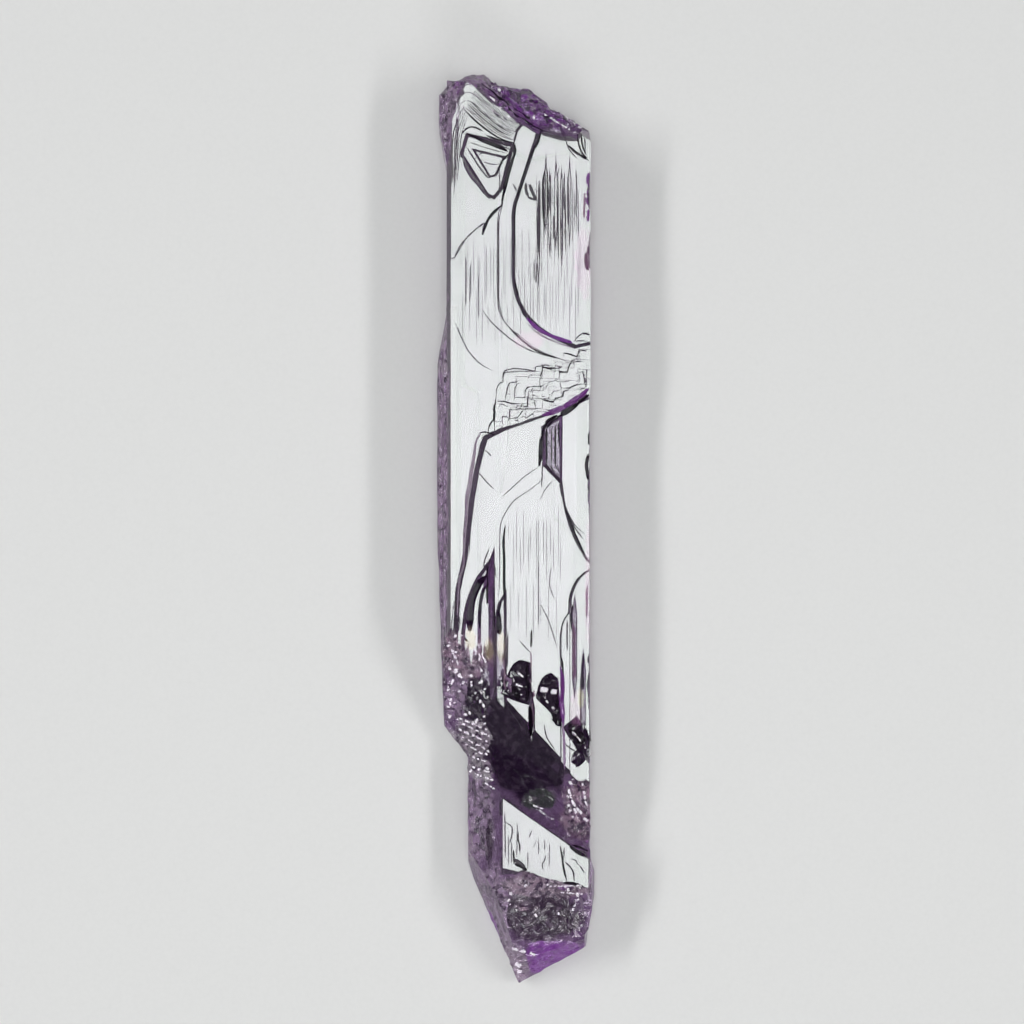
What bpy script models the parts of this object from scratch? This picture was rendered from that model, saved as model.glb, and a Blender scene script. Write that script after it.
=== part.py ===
"""A kunzite crystal: one long flattened blade of spodumene, lying on its broad back face.

The blade's length runs along Y, its width along X and its thickness along Z, with the mirror-bright
front face up. Outlines are written in millimetres in the crystal's own frame, whose origin is the
middle of the resting face. The crystal is one solid: three prisms grown together, cut by flat facets,
then etched by terraces, flutes, pits and rough scoops.
"""

import math
import random

import bmesh
import bpy
from mathutils import Matrix, Vector, noise

MM = 0.001

# Driving sizes of the crystal, in millimetres
THICKNESS = 12.0
LEFT_EDGE = -11.1
RIGHT_EDGE = 11.95
TOP_END = 73.4
TIP_END = -73.4
SPUR_LEFT = -12.65
KNOB_RIGHT = 12.65
FOOT_FACE = 10.2
FOOT_LEFT = -7.7

# Levels of the front face, as depths below its highest flat
FAN_STEPS = 4
FAN_RISE = 0.08
PLATEAU = 0.45
STRIP = 0.56
UPPER_RIGHT = 1.0
BASIN = 1.4
FLANK = 1.85
STAIRS = 6
STAIR_RISE = 0.15

# How cutters are made, in millimetres
REACH = 14.0
LIFT = 0.15
CURVE_STEPS = 4
ETCH_CELL = 0.85
FAR = 14.0
LOW = -62.0

SOFT = "soft"

# Facets that other features are placed on: a point of the plane in millimetres, and its outward normal
END_SLOPE = ((-2.1, -26.5, THICKNESS - BASIN), (-0.432, -0.401, 0.807))
FOOT_HEAD = ((-1.6, -43.5, FOOT_FACE), (0.407, 0.578, 0.707))
POINT_FACE = ((-2.1, -54.2, FOOT_FACE), (-0.0626, -0.2685, 0.961))
POINT_RIM = ((0.48, TIP_END, 2.0), (0.153, -0.7235, 0.673))
TOP_RIM = ((-8.2, 71.7, THICKNESS), (0.342, 0.832, 0.433))
SHOULDER_FACE = ((-8.0, 71.5, THICKNESS), (-0.70, 0.26, 0.66))

# The blade's colour through its thickness
LILAC = (0.66, 0.47, 0.78, 1.0)


def clear_scene():
    for thing in list(bpy.data.objects):
        bpy.data.objects.remove(thing)


def new_group(name, shown):
    group = bpy.data.collections.new(name)
    group.hide_render = not shown
    bpy.context.scene.collection.children.link(group)
    return group


def crystal_material():
    material = bpy.data.materials.new("kunzite")
    material.use_nodes = True
    shader = material.node_tree.nodes["Principled BSDF"]
    shader.inputs["Base Color"].default_value = LILAC
    shader.inputs["Roughness"].default_value = 0.04
    shader.inputs["Metallic"].default_value = 0.0
    shader.inputs["IOR"].default_value = 1.67
    shader.inputs["Transmission Weight"].default_value = 1.0
    return material


def as_object(name, mesh, group):
    made = bpy.data.objects.new(name, mesh)
    group.objects.link(made)
    return made


def as_cutter(name, mesh, group):
    made = as_object(name, mesh, group)
    made.hide_render = True
    made.display_type = "WIRE"
    return made


def edited(mesh, change=None):
    """Runs change on the mesh as a bmesh, and leaves its faces flat and pointing out."""
    bm = bmesh.new()
    bm.from_mesh(mesh)
    if change:
        change(bm)
    bmesh.ops.recalc_face_normals(bm, faces=bm.faces)
    for face in bm.faces:
        face.smooth = False
    bm.to_mesh(mesh)
    bm.free()
    return mesh


def plate(name, outline, half_height, run=0.0):
    """A closed plate from a filled 2D curve. A point marked SOFT is on a smooth bend, and the rest are
    corners. With a run, the plate's rims slope at 45 degrees and it widens by run half way up."""
    curve = bpy.data.curves.new(name, "CURVE")
    curve.dimensions = "2D"
    curve.fill_mode = "BOTH"
    curve.resolution_u = CURVE_STEPS
    curve.extrude = half_height * MM
    curve.bevel_depth = run * MM
    curve.bevel_resolution = 0
    spline = curve.splines.new("BEZIER")
    spline.bezier_points.add(len(outline) - 1)
    spline.use_cyclic_u = True
    for point, (x, y, *bend) in zip(spline.bezier_points, outline):
        point.co = (x * MM, y * MM, 0.0)
        kind = "AUTO" if SOFT in bend else "VECTOR"
        point.handle_left_type = kind
        point.handle_right_type = kind
    helper = bpy.data.objects.new(name, curve)
    bpy.context.scene.collection.objects.link(helper)
    graph = bpy.context.evaluated_depsgraph_get()
    mesh = bpy.data.meshes.new_from_object(helper.evaluated_get(graph))
    mesh.name = name
    bpy.data.objects.remove(helper)
    bpy.data.curves.remove(curve)
    return edited(mesh, lambda bm: bmesh.ops.remove_doubles(bm, verts=bm.verts, dist=1e-6))


def facet(bm, point, normal):
    """Cuts the shape off flat beyond the plane through point, given in millimetres."""
    cut = bmesh.ops.bisect_plane(
        bm,
        geom=bm.verts[:] + bm.edges[:] + bm.faces[:],
        plane_co=Vector(point) * MM,
        plane_no=Vector(normal),
        clear_outer=True,
    )
    rim = [item for item in cut["geom_cut"] if isinstance(item, bmesh.types.BMEdge)]
    bmesh.ops.edgeloop_fill(bm, edges=rim)


def prism(name, section, low, high, facets):
    """A prism along Y with the section's (x, z) outline, from y = low to y = high, cut by facets."""
    mesh = plate(name, section, (high - low) / 2)
    stand = Matrix.Translation((0.0, (low + high) / 2 * MM, 0.0)) @ Matrix.Rotation(math.radians(90), 4, "X")
    mesh.transform(stand)

    def cut(bm):
        for point, normal in facets:
            facet(bm, point, normal)

    return edited(mesh, cut)


def ridged(start, end, count, depth, seed):
    """Points from start to end along a striated side: count ledges, each set in by up to depth."""
    chance = random.Random(seed)
    start, end = Vector(start), Vector(end)
    along = end - start
    inward = Vector((along.y, -along.x)).normalized()
    points = [tuple(start)]
    for i in range(count):
        near = (i + 0.55 + chance.uniform(-0.15, 0.15)) / count
        far = (i + 0.92 + chance.uniform(-0.06, 0.04)) / count
        inset = inward * chance.uniform(0.25, 1.0) * depth
        points.append(tuple(start + along * near))
        points.append(tuple(start + along * (near + 0.12 / count) + inset))
        points.append(tuple(start + along * (far + 0.02 / count) + inset))
    points.append(tuple(end))
    return points


def blade_section():
    """The blade across its length: a broad face at each side of the thickness, striated edges between."""
    right = ridged((RIGHT_EDGE, 11.4), (RIGHT_EDGE - 0.2, 3.0), 6, 0.35, 3)
    left = ridged((LEFT_EDGE + 0.1, 3.1), (LEFT_EDGE, 10.4), 5, 0.4, 8)
    back = [(9.4, 0.0), (-8.2, 0.0)]
    front = [(-10.2, THICKNESS), (11.6, THICKNESS)]
    return front + right + back + left


def blade():
    """The main crystal, from its etched top to the long slope that ends it above the foot."""
    facets = [
        TOP_RIM,
        ((4.6, 69.2, 5.2), (0.53, 0.80, 0.28)),
        ((4.6, 69.2, 5.2), (0.50, 0.72, -0.48)),
        ((-0.5, 71.2, 5.2), (0.10, 0.99, 0.02)),
        ((-0.5, 71.2, 5.2), (0.10, 0.88, -0.46)),
        SHOULDER_FACE,
        END_SLOPE,
        ((-11.6, -31.4, 6.0), (-0.79, -0.61, 0.05)),
    ]
    return prism("blade", blade_section(), -64.0, 76.0, facets)


def shoulder():
    """The swollen corner at the top left, a stub of the blade's wider early growth."""
    section = [(-3.0, 10.3), (-8.0, 11.7), (-12.35, 8.4), (-12.35, 3.2), (-8.0, 0.6), (-3.0, 0.6)]
    facets = [
        ((-12.35, 69.4, 6.0), (-0.83, 0.50, -0.10)),
        ((-11.3, 71.2, 6.0), (-0.53, 0.80, 0.26)),
        ((-9.5, 72.4, 6.0), (-0.43, 0.90, -0.15)),
        ((-7.4, TOP_END, 5.4), (0.0, 0.94, 0.33)),
        ((-7.4, TOP_END, 5.4), (0.0, 0.92, -0.36)),
        ((-5.3, 73.3, 6.0), (0.66, 0.70, 0.22)),
        ((-12.35, 64.9, 6.0), (-0.985, -0.17, 0.05)),
        ((-11.0, 57.8, 5.0), (-0.70, -0.71, 0.0)),
    ]
    return prism("shoulder", section, 52.0, 75.0, facets)


def spur():
    """The slim blade that grew along the left side."""
    section = ridged((-11.3, 1.7), (SPUR_LEFT, 4.4), 2, 0.25, 5)
    section += ridged((SPUR_LEFT, 7.2), (-11.2, 9.9), 2, 0.3, 6)
    section += [(-9.5, 10.4), (-9.5, 1.0)]
    facets = [
        ((-11.0, 33.4, 8.0), (-0.95, 0.22, 0.22)),
        ((-12.53, 27.0, 6.0), (-0.985, 0.17, 0.0)),
        ((SPUR_LEFT, 1.1, 6.0), (-0.9995, -0.0320, 0.0)),
        ((-11.65, -29.1, 6.0), (-0.99, -0.06, 0.1)),
        ((-11.6, -31.4, 6.0), (-0.79, -0.61, 0.05)),
    ]
    return prism("spur", section, -37.0, 36.0, facets)


def foot():
    """The lower crystal, set back from the front, with its wide left bevel and sloping point."""
    section = [(-2.1, FOOT_FACE), (11.6, FOOT_FACE)]
    section += ridged((RIGHT_EDGE, 9.6), (RIGHT_EDGE - 0.1, 3.4), 4, 0.3, 13)
    section += [(9.0, 0.12), (-5.2, 0.12)]
    section += ridged((FOOT_LEFT, 3.0), (FOOT_LEFT, 5.2), 1, 0.3, 17)
    facets = [
        FOOT_HEAD,
        POINT_FACE,
        POINT_RIM,
        ((0.48, TIP_END, 2.0), (0.516, -0.856, -0.05)),
        ((-7.92, -54.0, 2.0), (-0.862, -0.373, 0.34)),
        ((-7.92, -54.0, 2.0), (-0.880, -0.381, -0.28)),
        ((2.0, -62.0, 0.1), (0.02, -0.10, -0.99)),
        ((11.9, -60.0, 5.0), (0.985, -0.10, 0.1)),
    ]
    return prism("foot", section, -75.0, -30.0, facets)


def knob():
    """The small bulge on the foot's right edge."""
    section = [(9.0, 8.4), (12.2, 7.2), (KNOB_RIGHT, 5.4), (12.3, 3.0), (9.0, 1.6)]
    facets = [
        ((11.95, -52.7, 5.0), (0.95, 0.30, 0.0)),
        ((12.3, -60.8, 5.0), (0.985, -0.17, 0.0)),
        ((11.9, -64.0, 5.0), (0.80, -0.60, 0.0)),
    ]
    return prism("knob", section, -65.5, -50.0, facets)


def terrace(name, outline, depth, steepness=1.0):
    """A cutter that lowers the front face inside the outline by depth, with sloping walls around it."""
    run = (depth + LIFT) / steepness
    half_height = REACH / 4 / steepness
    mesh = plate(name, outline, half_height, run)
    middle = THICKNESS - depth + (half_height + run) * steepness
    rise = Matrix.Translation((0.0, 0.0, middle * MM)) @ Matrix.Diagonal((1.0, 1.0, steepness, 1.0))
    mesh.transform(rise)
    return mesh


def back_terrace(name, outline, depth):
    """A cutter that raises the back face inside the outline by depth."""
    mesh = terrace(name, outline, depth, 1.3)
    mesh.transform(Matrix.Translation((0.0, 0.0, THICKNESS * MM)) @ Matrix.Diagonal((1.0, 1.0, -1.0, 1.0)))
    return edited(mesh)


def stair_outline(step):
    """One contour of the staircase: treads and risers climbing from the lower left to the right edge."""
    chance = random.Random(40 + step)
    x, y = -3.4 + 1.25 * step, 15.6 + 0.45 * step
    end_x, end_y = 13.2, 30.4 - 1.55 * step
    treads = 6 - step // 2
    shares = [[chance.uniform(0.55, 1.45) for _ in range(treads)] for _ in range(2)]
    runs = [(end_x - x) * share / sum(shares[0]) for share in shares[0]]
    rises = [(end_y - y) * share / sum(shares[1]) for share in shares[1]]
    points = [(x + 0.3, 8.0), (x, y)]
    for run, rise in zip(runs, rises):
        y += rise
        points.append((x, y))
        x += run
        points.append((x, y - chance.uniform(0.0, 0.25)))
    return points + [(end_x + 1.0, end_y), (end_x + 1.0, 8.0)]


def fan_outline(step):
    """One contour of the fan that sweeps from the top left corner to the head of the middle strip."""
    share = step / (FAN_STEPS - 1)
    start = Vector((-7.9, 71.2)).lerp(Vector((-8.5, 67.3)), share)
    bend = Vector((-4.9, 69.9)).lerp(Vector((-6.3, 66.2)), share)
    dip = Vector((-2.1, 67.4)).lerp(Vector((-4.0, 63.9)), share)
    end = Vector((1.6, 66.0)).lerp(Vector((0.0, 62.2)), share)
    flank = [(-9.5 + 0.12 * step, 66.0), (-9.9 + 0.15 * step, 58.0), (-FAR, 44.0)]
    curve = [(*start, SOFT), (*bend, SOFT), (*dip, SOFT), tuple(end)]
    return flank[::-1] + curve + [(FAR, end.y + 2.0), (FAR, LOW), (-FAR, LOW)]


def groove(x, low, high, width=0.25):
    """The outline of a narrow groove along the blade, pointed at both ends."""
    taper = min(2.0, (high - low) / 3)
    side = [(x + width / 2, high - taper), (x + width / 2, low + taper)]
    return [(x, high)] + side + [(x, low)] + [(2 * x - across, y) for across, y in side[::-1]]


def front_terraces():
    """The growth and etch levels of the broad front face, as (name, outline, depth, steepness)."""
    strip_left = [(2.6, 67.0), (1.8, 65.5), (0.35, 63.9), (-0.2, 62.0), (-0.2, 60.2), (-1.6, 56.0),
                  (-2.1, 52.0), (-2.7, 49.6), (-2.7, 37.0), (-1.8, 33.4, SOFT), (0.6, 31.2, SOFT),
                  (3.8, 28.8, SOFT), (7.8, 27.2)]
    levels = [(f"fan_{step}", fan_outline(step), FAN_RISE * (step + 1), 0.9) for step in range(FAN_STEPS)]
    levels += [
        ("plateau", [(-FAR, 42.6), (-9.8, 43.5), (-7.4, 47.2, SOFT), (-4.6, 49.3), (-2.1, 52.0), (0.4, 52.4),
                     (FAR, 52.0), (FAR, LOW), (-FAR, LOW)], PLATEAU, 0.9),
        ("strip", strip_left + [(FAR, 26.4), (FAR, 70.0)], STRIP, 0.9),
        ("upper_right", [(4.6, 68.0), (4.0, 64.0), (0.1, 52.0), (-0.1, 50.4), (-0.1, 40.4), (0.7, 36.8, SOFT),
                         (3.9, 32.6, SOFT), (9.5, 29.7), (FAR, 30.6), (FAR, 68.0)], UPPER_RIGHT, 0.7),
        ("basin", [(-9.5, LOW), (-9.3, -18.0), (-8.9, -9.8), (-7.8, -4.8), (-7.2, 0.0), (-6.6, 5.0),
                   (-5.7, 10.2), (-4.6, 14.4), (-1.8, 15.9), (2.2, 17.3), (6.2, 18.7), (9.4, 20.3),
                   (FAR, 22.6), (FAR, LOW)], BASIN, 1.1),
        ("right_flank", [(7.5, 19.0), (7.4, 8.0), (8.2, 2.9, SOFT), (9.4, -0.8, SOFT), (11.4, -4.5),
                         (FAR, -6.5), (FAR, 22.0)], FLANK, 1.2),
        ("triangle_outer", [(-7.6, 62.9), (-0.9, 61.4), (-2.6, 54.8), (-3.6, 53.6), (-4.4, 53.9),
                            (-8.4, 60.2)], 0.8, 0.8),
        ("triangle_inner", [(-6.4, 60.6), (-2.2, 59.6), (-3.4, 57.0), (-4.1, 56.8)], 1.1, 0.8),
        ("arrow_pit", [(4.7, 16.2), (6.9, 17.6), (7.0, 8.4), (4.9, 10.6)], 2.6, 1.8),
        ("left_flute", [(-8.2, -36.0), (-8.2, -17.0), (-7.6, -12.6, SOFT), (-6.2, -8.6, SOFT), (-4.7, -6.4),
                        (-5.4, -9.6, SOFT), (-5.9, -14.0), (-5.9, -36.0)], 2.3, 1.4),
        ("left_flute_inner", [(-5.6, -36.0), (-5.6, -14.0), (-5.2, -10.6, SOFT), (-4.5, -8.6), (-4.2, -36.0)],
         3.2, 1.6),
        ("middle_flute", [(-3.0, -36.0), (-3.0, -15.0), (-2.5, -12.0), (-2.0, -11.2), (-1.9, -36.0)],
         2.3, 1.8),
        ("right_flute", [(8.7, -47.0), (8.7, -12.6), (9.3, -9.8, SOFT), (10.5, -7.6, SOFT), (12.2, -6.3),
                         (FAR, -5.8), (FAR, -47.0)], 1.8, 1.2),
        ("right_flute_low", [(7.3, -47.0), (7.3, -17.4), (7.6, -15.0, SOFT), (8.8, -13.0), (8.9, -47.0)],
         1.65, 1.2),
        ("right_groove", groove(9.4, -26.0, -11.4, 0.5), 2.8, 6.0),
        ("edge_groove", groove(10.8, -33.0, -20.0, 0.5), 2.7, 6.0),
        ("pit_shelf_left", [(-2.2, -26.2), (-1.2, -24.0), (-0.4, -22.2, SOFT), (0.6, -21.3, SOFT),
                            (1.9, -21.6), (2.0, -27.6), (0.6, -27.2)], 3.0, 3.6),
        ("pit_shelf_right", [(3.6, -26.8), (4.2, -24.6, SOFT), (5.2, -23.5, SOFT), (6.4, -24.0), (6.9, -30.4),
                             (5.4, -28.6)], 2.9, 3.6),
        ("pit_edge", [(8.6, -31.8), (9.6, -30.9), (12.4, -35.0), (FAR, -37.0), (FAR, -39.0), (10.4, -34.8)],
         3.2, 1.8),
        ("slot", groove(2.5, -34.0, -26.6, 0.6), 2.85, 6.0),
        ("top_etch", [(-5.0, 72.0), (-3.2, 70.2), (-0.3, 68.3), (1.8, 66.2), (4.6, 64.4), (7.4, 63.6),
                      (9.2, 63.5), (10.9, 64.7), (FAR, 66.4), (FAR, 77.0), (-5.0, 77.0)], 2.6, 1.3),
    ]
    striae = [(3.6, 41.0, 52.4), (4.8, 49.4, 58.4), (5.4, 45.6, 56.0), (6.4, 46.8, 58.0), (7.3, 44.0, 56.4),
              (8.6, 47.4, 58.0)]
    for i, (x, low, high) in enumerate(striae):
        levels.append((f"stria_{i}", groove(x, low, high), UPPER_RIGHT + 0.2, 1.4))
    return levels


def back_terraces():
    """Long shallow ledges on the back, which leave a broad flat for the crystal to rest on."""
    return [
        ("back_right", [(4.8, 80.0), (4.8, 31.0), (6.4, 27.0), (6.4, 2.0), (FAR, -4.0), (FAR, 80.0)], 0.55),
        ("back_left", [(-FAR, 26.0), (-6.4, 22.0), (-6.4, -20.0), (-5.0, -24.0), (-5.0, -48.0),
                       (-FAR, -50.0)], 0.7),
        ("back_slot", [(-2.6, 58.0), (-1.7, 60.0), (-1.5, 12.0), (-2.3, 8.0)], 0.4),
        ("back_step", [(-FAR, 66.0), (-3.0, 63.0), (2.0, 60.0), (FAR, 62.0), (FAR, 80.0), (-FAR, 80.0)],
         0.9),
    ]


def scoop(name, centre, normal, radii, depth, grain, seed):
    """A rough hollow: a bowl-shaped cutter whose face is broken up by noise of the grain's height."""
    counts = [max(4, round(2 * radius / ETCH_CELL)) for radius in radii]
    drift = Vector((7.3, 3.1, 5.7)) * seed
    mesh = bpy.data.meshes.new(name)

    def shape(bm):
        bmesh.ops.create_grid(bm, x_segments=counts[0], y_segments=counts[1], size=1.0)
        for vert in bm.verts:
            across = vert.co.copy()
            bowl = 1.75 * across.length_squared - 1.0
            spot = Vector((across.x * radii[0], across.y * radii[1], 0.0))
            rough = noise.noise(spot * 0.8 + drift) + 0.6 * noise.noise(spot * 1.9 + drift)
            jitter = noise.noise_vector(spot * 1.3 + drift) * 0.35 * ETCH_CELL
            vert.co = (spot + Vector((jitter.x, jitter.y, depth * bowl + grain * rough))) * MM
        grown = bmesh.ops.extrude_face_region(bm, geom=bm.faces[:])
        for item in grown["geom"]:
            if isinstance(item, bmesh.types.BMVert):
                item.co.z = REACH * MM

    edited(mesh, shape)
    turn = Vector(normal).normalized().to_track_quat("Z", "Y").to_matrix().to_4x4()
    mesh.transform(Matrix.Translation(Vector(centre) * MM) @ turn)
    return mesh


def on_facet(plane, x, y):
    """A facet's point above (x, y), and its outward normal."""
    point, normal = plane
    drop = (normal[0] * (x - point[0]) + normal[1] * (y - point[1])) / normal[2]
    return (x, y, point[2] - drop), normal


def etched_places():
    """Where the crystal is rough: (name, (centre, outward normal), (radius across, radius up), depth,
    grain)."""
    basin = ((0.0, 0.0, THICKNESS - BASIN), (0.0, 0.0, 1.0))
    top_floor = ((2.6, 67.4, THICKNESS - 2.6), (0.40, 0.55, 0.73))
    return [
        ("top_floor_left", on_facet(top_floor, 0.4, 69.2), (4.2, 2.6), 0.6, 1.1),
        ("top_floor_right", on_facet(top_floor, 6.0, 66.0), (4.8, 2.8), 0.6, 1.1),
        ("top_right", ((7.6, 67.2, 5.6), (0.53, 0.80, 0.28)), (6.4, 5.0), 0.3, 0.9),
        ("top_middle", ((0.6, 71.2, 6.0), (0.10, 0.96, 0.2)), (5.0, 4.5), 0.2, 0.7),
        ("top_back", ((0.5, 70.0, 2.6), (0.30, 0.82, -0.48)), (10.0, 3.5), 0.3, 0.6),
        ("shoulder_face", on_facet(SHOULDER_FACE, -9.9, 69.6), (3.4, 3.4), 0.3, 0.5),
        ("shoulder_low", ((-11.4, 63.0, 9.2), (-0.70, 0.0, 0.70)), (4.6, 2.4), 0.3, 0.4),
        ("slope_head", on_facet(END_SLOPE, -9.2, -20.0), (4.4, 4.0), 0.5, 0.7),
        ("slope_grain", on_facet(END_SLOPE, -8.4, -26.0), (5.0, 4.6), 0.45, 0.8),
        ("slope_tail", on_facet(END_SLOPE, -8.3, -31.6), (4.6, 4.0), 0.4, 0.9),
        ("break_left", ((-10.2, -33.8, 5.4), (-0.76, -0.62, 0.1)), (3.0, 4.6), 0.2, 0.55),
        ("spur_end", ((-12.1, -22.0, 7.4), (-0.9, -0.1, 0.4)), (8.0, 2.4), 0.2, 0.35),
        ("foot_corner", on_facet(FOOT_HEAD, -5.4, -41.0), (3.0, 2.6), 0.4, 0.8),
        ("foot_bevel", ((-5.4, -47.0, 7.4), (-0.66, 0.0, 0.75)), (4.0, 2.2), 0.3, 0.3),
        ("trough_right", on_facet(FOOT_HEAD, 9.2, -49.0), (3.6, 2.8), 0.5, 0.9),
        ("trough_edge", ((10.8, -42.6, 8.8), (0.2, -0.2, 0.95)), (2.2, 2.6), 0.7, 0.7),
        ("pit_left", on_facet(basin, 1.0, -23.4), (2.2, 3.4), 1.5, 0.6),
        ("pit_right", on_facet(basin, 5.2, -25.6), (2.2, 3.4), 1.5, 0.6),
        ("pit_corner", on_facet(basin, 10.0, -36.4), (2.0, 2.4), 1.3, 0.6),
        ("point_band_left", on_facet(POINT_FACE, 1.6, -56.4), (5.2, 2.2), 0.4, 0.4),
        ("point_band_right", on_facet(POINT_FACE, 7.8, -58.8), (5.0, 2.4), 0.45, 0.5),
        ("point_grain", on_facet(POINT_FACE, 2.8, -61.4), (7.6, 4.0), 0.3, 0.35),
        ("point_corner", ((10.8, -62.0, 7.6), (0.40, -0.20, 0.9)), (2.6, 3.6), 0.3, 0.5),
        ("point_side", ((-4.4, -62.0, 3.4), (-0.90, -0.40, 0.1)), (6.0, 3.0), 0.15, 0.4),
        ("right_nick_top", ((12.1, 53.8, 10.6), (0.8, 0.0, 0.6)), (4.6, 1.6), 0.5, 0.4),
        ("right_nick_high", ((12.1, 44.4, 10.4), (0.8, 0.0, 0.6)), (3.8, 1.6), 0.4, 0.4),
        ("right_nick_mid", ((12.1, 6.0, 9.8), (0.8, 0.0, 0.6)), (6.0, 1.8), 0.4, 0.4),
        ("right_nick_low", ((12.1, -25.0, 9.8), (0.8, 0.0, 0.6)), (7.0, 1.8), 0.4, 0.4),
        ("back_pit", ((5.0, -30.0, -0.1), (0.05, 0.0, -1.0)), (3.4, 7.0), 0.5, 0.4),
    ]


def trough_dish():
    """The smooth dished mark in the trough's lower wall."""
    mesh = bpy.data.meshes.new("trough_dish")
    edited(mesh, lambda bm: bmesh.ops.create_uvsphere(bm, u_segments=20, v_segments=12, radius=1.0))
    (x, y, z), _ = on_facet(FOOT_HEAD, 3.6, -45.6)
    size = Matrix.Diagonal((3.7 * MM, 1.8 * MM, 1.2 * MM, 1.0))
    turn = Matrix.Rotation(math.radians(-35), 4, "Z") @ Matrix.Rotation(math.radians(-45), 4, "X")
    mesh.transform(Matrix.Translation(Vector((x, y, z)) * MM) @ turn @ size)
    return mesh


def join(crystal, mesh, group, operation, solver="EXACT"):
    """Adds mesh to the crystal, or cuts it away. Where many rough hollows overlap, only the MANIFOLD
    solver keeps the solid closed."""
    tool = as_cutter(mesh.name, mesh, group)
    step = crystal.modifiers.new(mesh.name, "BOOLEAN")
    step.operation = operation
    step.solver = solver
    step.object = tool


def grow_crystal():
    shown = new_group("kunzite_crystal", True)
    cutters = new_group("cutters", False)
    crystal = as_object("kunzite_crystal", blade(), shown)
    crystal.data.materials.append(crystal_material())
    for grown in (shoulder(), spur(), foot(), knob()):
        join(crystal, grown, cutters, "UNION")
    for name, outline, depth, steepness in front_terraces():
        join(crystal, terrace(name, outline, depth, steepness), cutters, "DIFFERENCE")
    for step in range(STAIRS):
        depth = PLATEAU + STAIR_RISE * (step + 1)
        join(crystal, terrace(f"stair_{step}", stair_outline(step), depth, 2.2), cutters, "DIFFERENCE")
    for name, outline, depth in back_terraces():
        join(crystal, back_terrace(name, outline, depth), cutters, "DIFFERENCE")
    for seed, (name, (centre, normal), radii, depth, grain) in enumerate(etched_places()):
        hollow = scoop(name, centre, normal, radii, depth, grain, seed)
        join(crystal, hollow, cutters, "DIFFERENCE", "MANIFOLD")
    join(crystal, trough_dish(), cutters, "DIFFERENCE", "MANIFOLD")


clear_scene()
grow_crystal()
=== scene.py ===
"""Looks of one kunzite crystal that lies on a pale studio floor and is seen from straight above."""

import math
from typing import NamedTuple

import bmesh
import bpy
from bpy.props import FloatProperty, FloatVectorProperty, PointerProperty
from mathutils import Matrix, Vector, noise
from mathutils.bvhtree import BVHTree


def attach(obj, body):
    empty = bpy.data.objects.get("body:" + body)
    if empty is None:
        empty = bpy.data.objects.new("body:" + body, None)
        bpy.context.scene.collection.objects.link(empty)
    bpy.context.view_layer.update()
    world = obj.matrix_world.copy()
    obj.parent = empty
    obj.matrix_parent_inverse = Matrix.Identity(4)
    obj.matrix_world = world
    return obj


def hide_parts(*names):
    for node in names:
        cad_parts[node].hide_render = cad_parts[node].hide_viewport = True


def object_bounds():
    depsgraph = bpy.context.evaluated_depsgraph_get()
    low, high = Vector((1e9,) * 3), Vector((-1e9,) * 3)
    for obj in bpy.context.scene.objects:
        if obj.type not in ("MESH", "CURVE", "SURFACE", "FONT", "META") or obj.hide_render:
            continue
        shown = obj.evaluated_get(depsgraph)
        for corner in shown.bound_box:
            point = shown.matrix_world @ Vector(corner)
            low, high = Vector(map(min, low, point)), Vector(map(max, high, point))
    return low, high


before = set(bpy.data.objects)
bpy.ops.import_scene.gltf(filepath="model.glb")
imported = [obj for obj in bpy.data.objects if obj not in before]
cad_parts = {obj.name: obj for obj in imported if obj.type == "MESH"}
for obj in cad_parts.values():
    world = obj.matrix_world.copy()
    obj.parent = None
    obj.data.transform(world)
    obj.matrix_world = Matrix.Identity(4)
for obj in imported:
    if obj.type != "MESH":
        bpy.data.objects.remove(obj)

bl_info = {
    "name": "Kunzite Crystal",
    "version": (1, 0, 0),
    "blender": (4, 5, 0),
    "location": "View3D > Sidebar > Kunzite",
    "description": "Dresses a packed kunzite crystal and lights it on a pale floor",
    "category": "Object",
}

MM = 0.001
ORIGIN = (0.0, 0.0, 0.0)
NODE = "kunzite_crystal"
BODY = "root"
CAD_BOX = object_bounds()


def length(name, default, description):
    return FloatProperty(name=name, default=default, min=0.0, unit="LENGTH", precision=5,
                         description=description)


def amount(name, default, description):
    return FloatProperty(name=name, default=default, min=0.0, max=1.0, description=description)


def colour(name, default, description):
    return FloatVectorProperty(name=name, default=default, size=3, min=0.0, max=1.0, subtype="COLOR",
                               description=description)


class KunziteCrystalSettings(bpy.types.PropertyGroup):
    body_colour: colour("Body colour", (0.49, 0.21, 0.54), "What the crystal lets through in depth")
    density: FloatProperty(name="Density", default=130.0, min=0.0, description="How much depth tints light")
    stain_colour: colour("Stain colour", (0.96, 0.80, 0.52), "Cream stain in the lower flutes")
    # Painted rosy light along the edge, then painted shade and painted glints of the etched skin
    painted_rosy_light_colour: colour("Painted rosy light colour", (1.0, 0.50, 0.82), "Rosy light along the straight edge")
    painted_shade_colour: colour("Shade colour", (0.10, 0.05, 0.13), "Dark flecks of the etched skin")
    painted_glint_colour: colour("Glint colour", (1.0, 0.86, 1.0), "Light flecks of the etched skin")
    polish: amount("Polish", 0.02, "Roughness of the growth faces")
    frost: amount("Frost", 0.12, "Roughness of the etched places")


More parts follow.
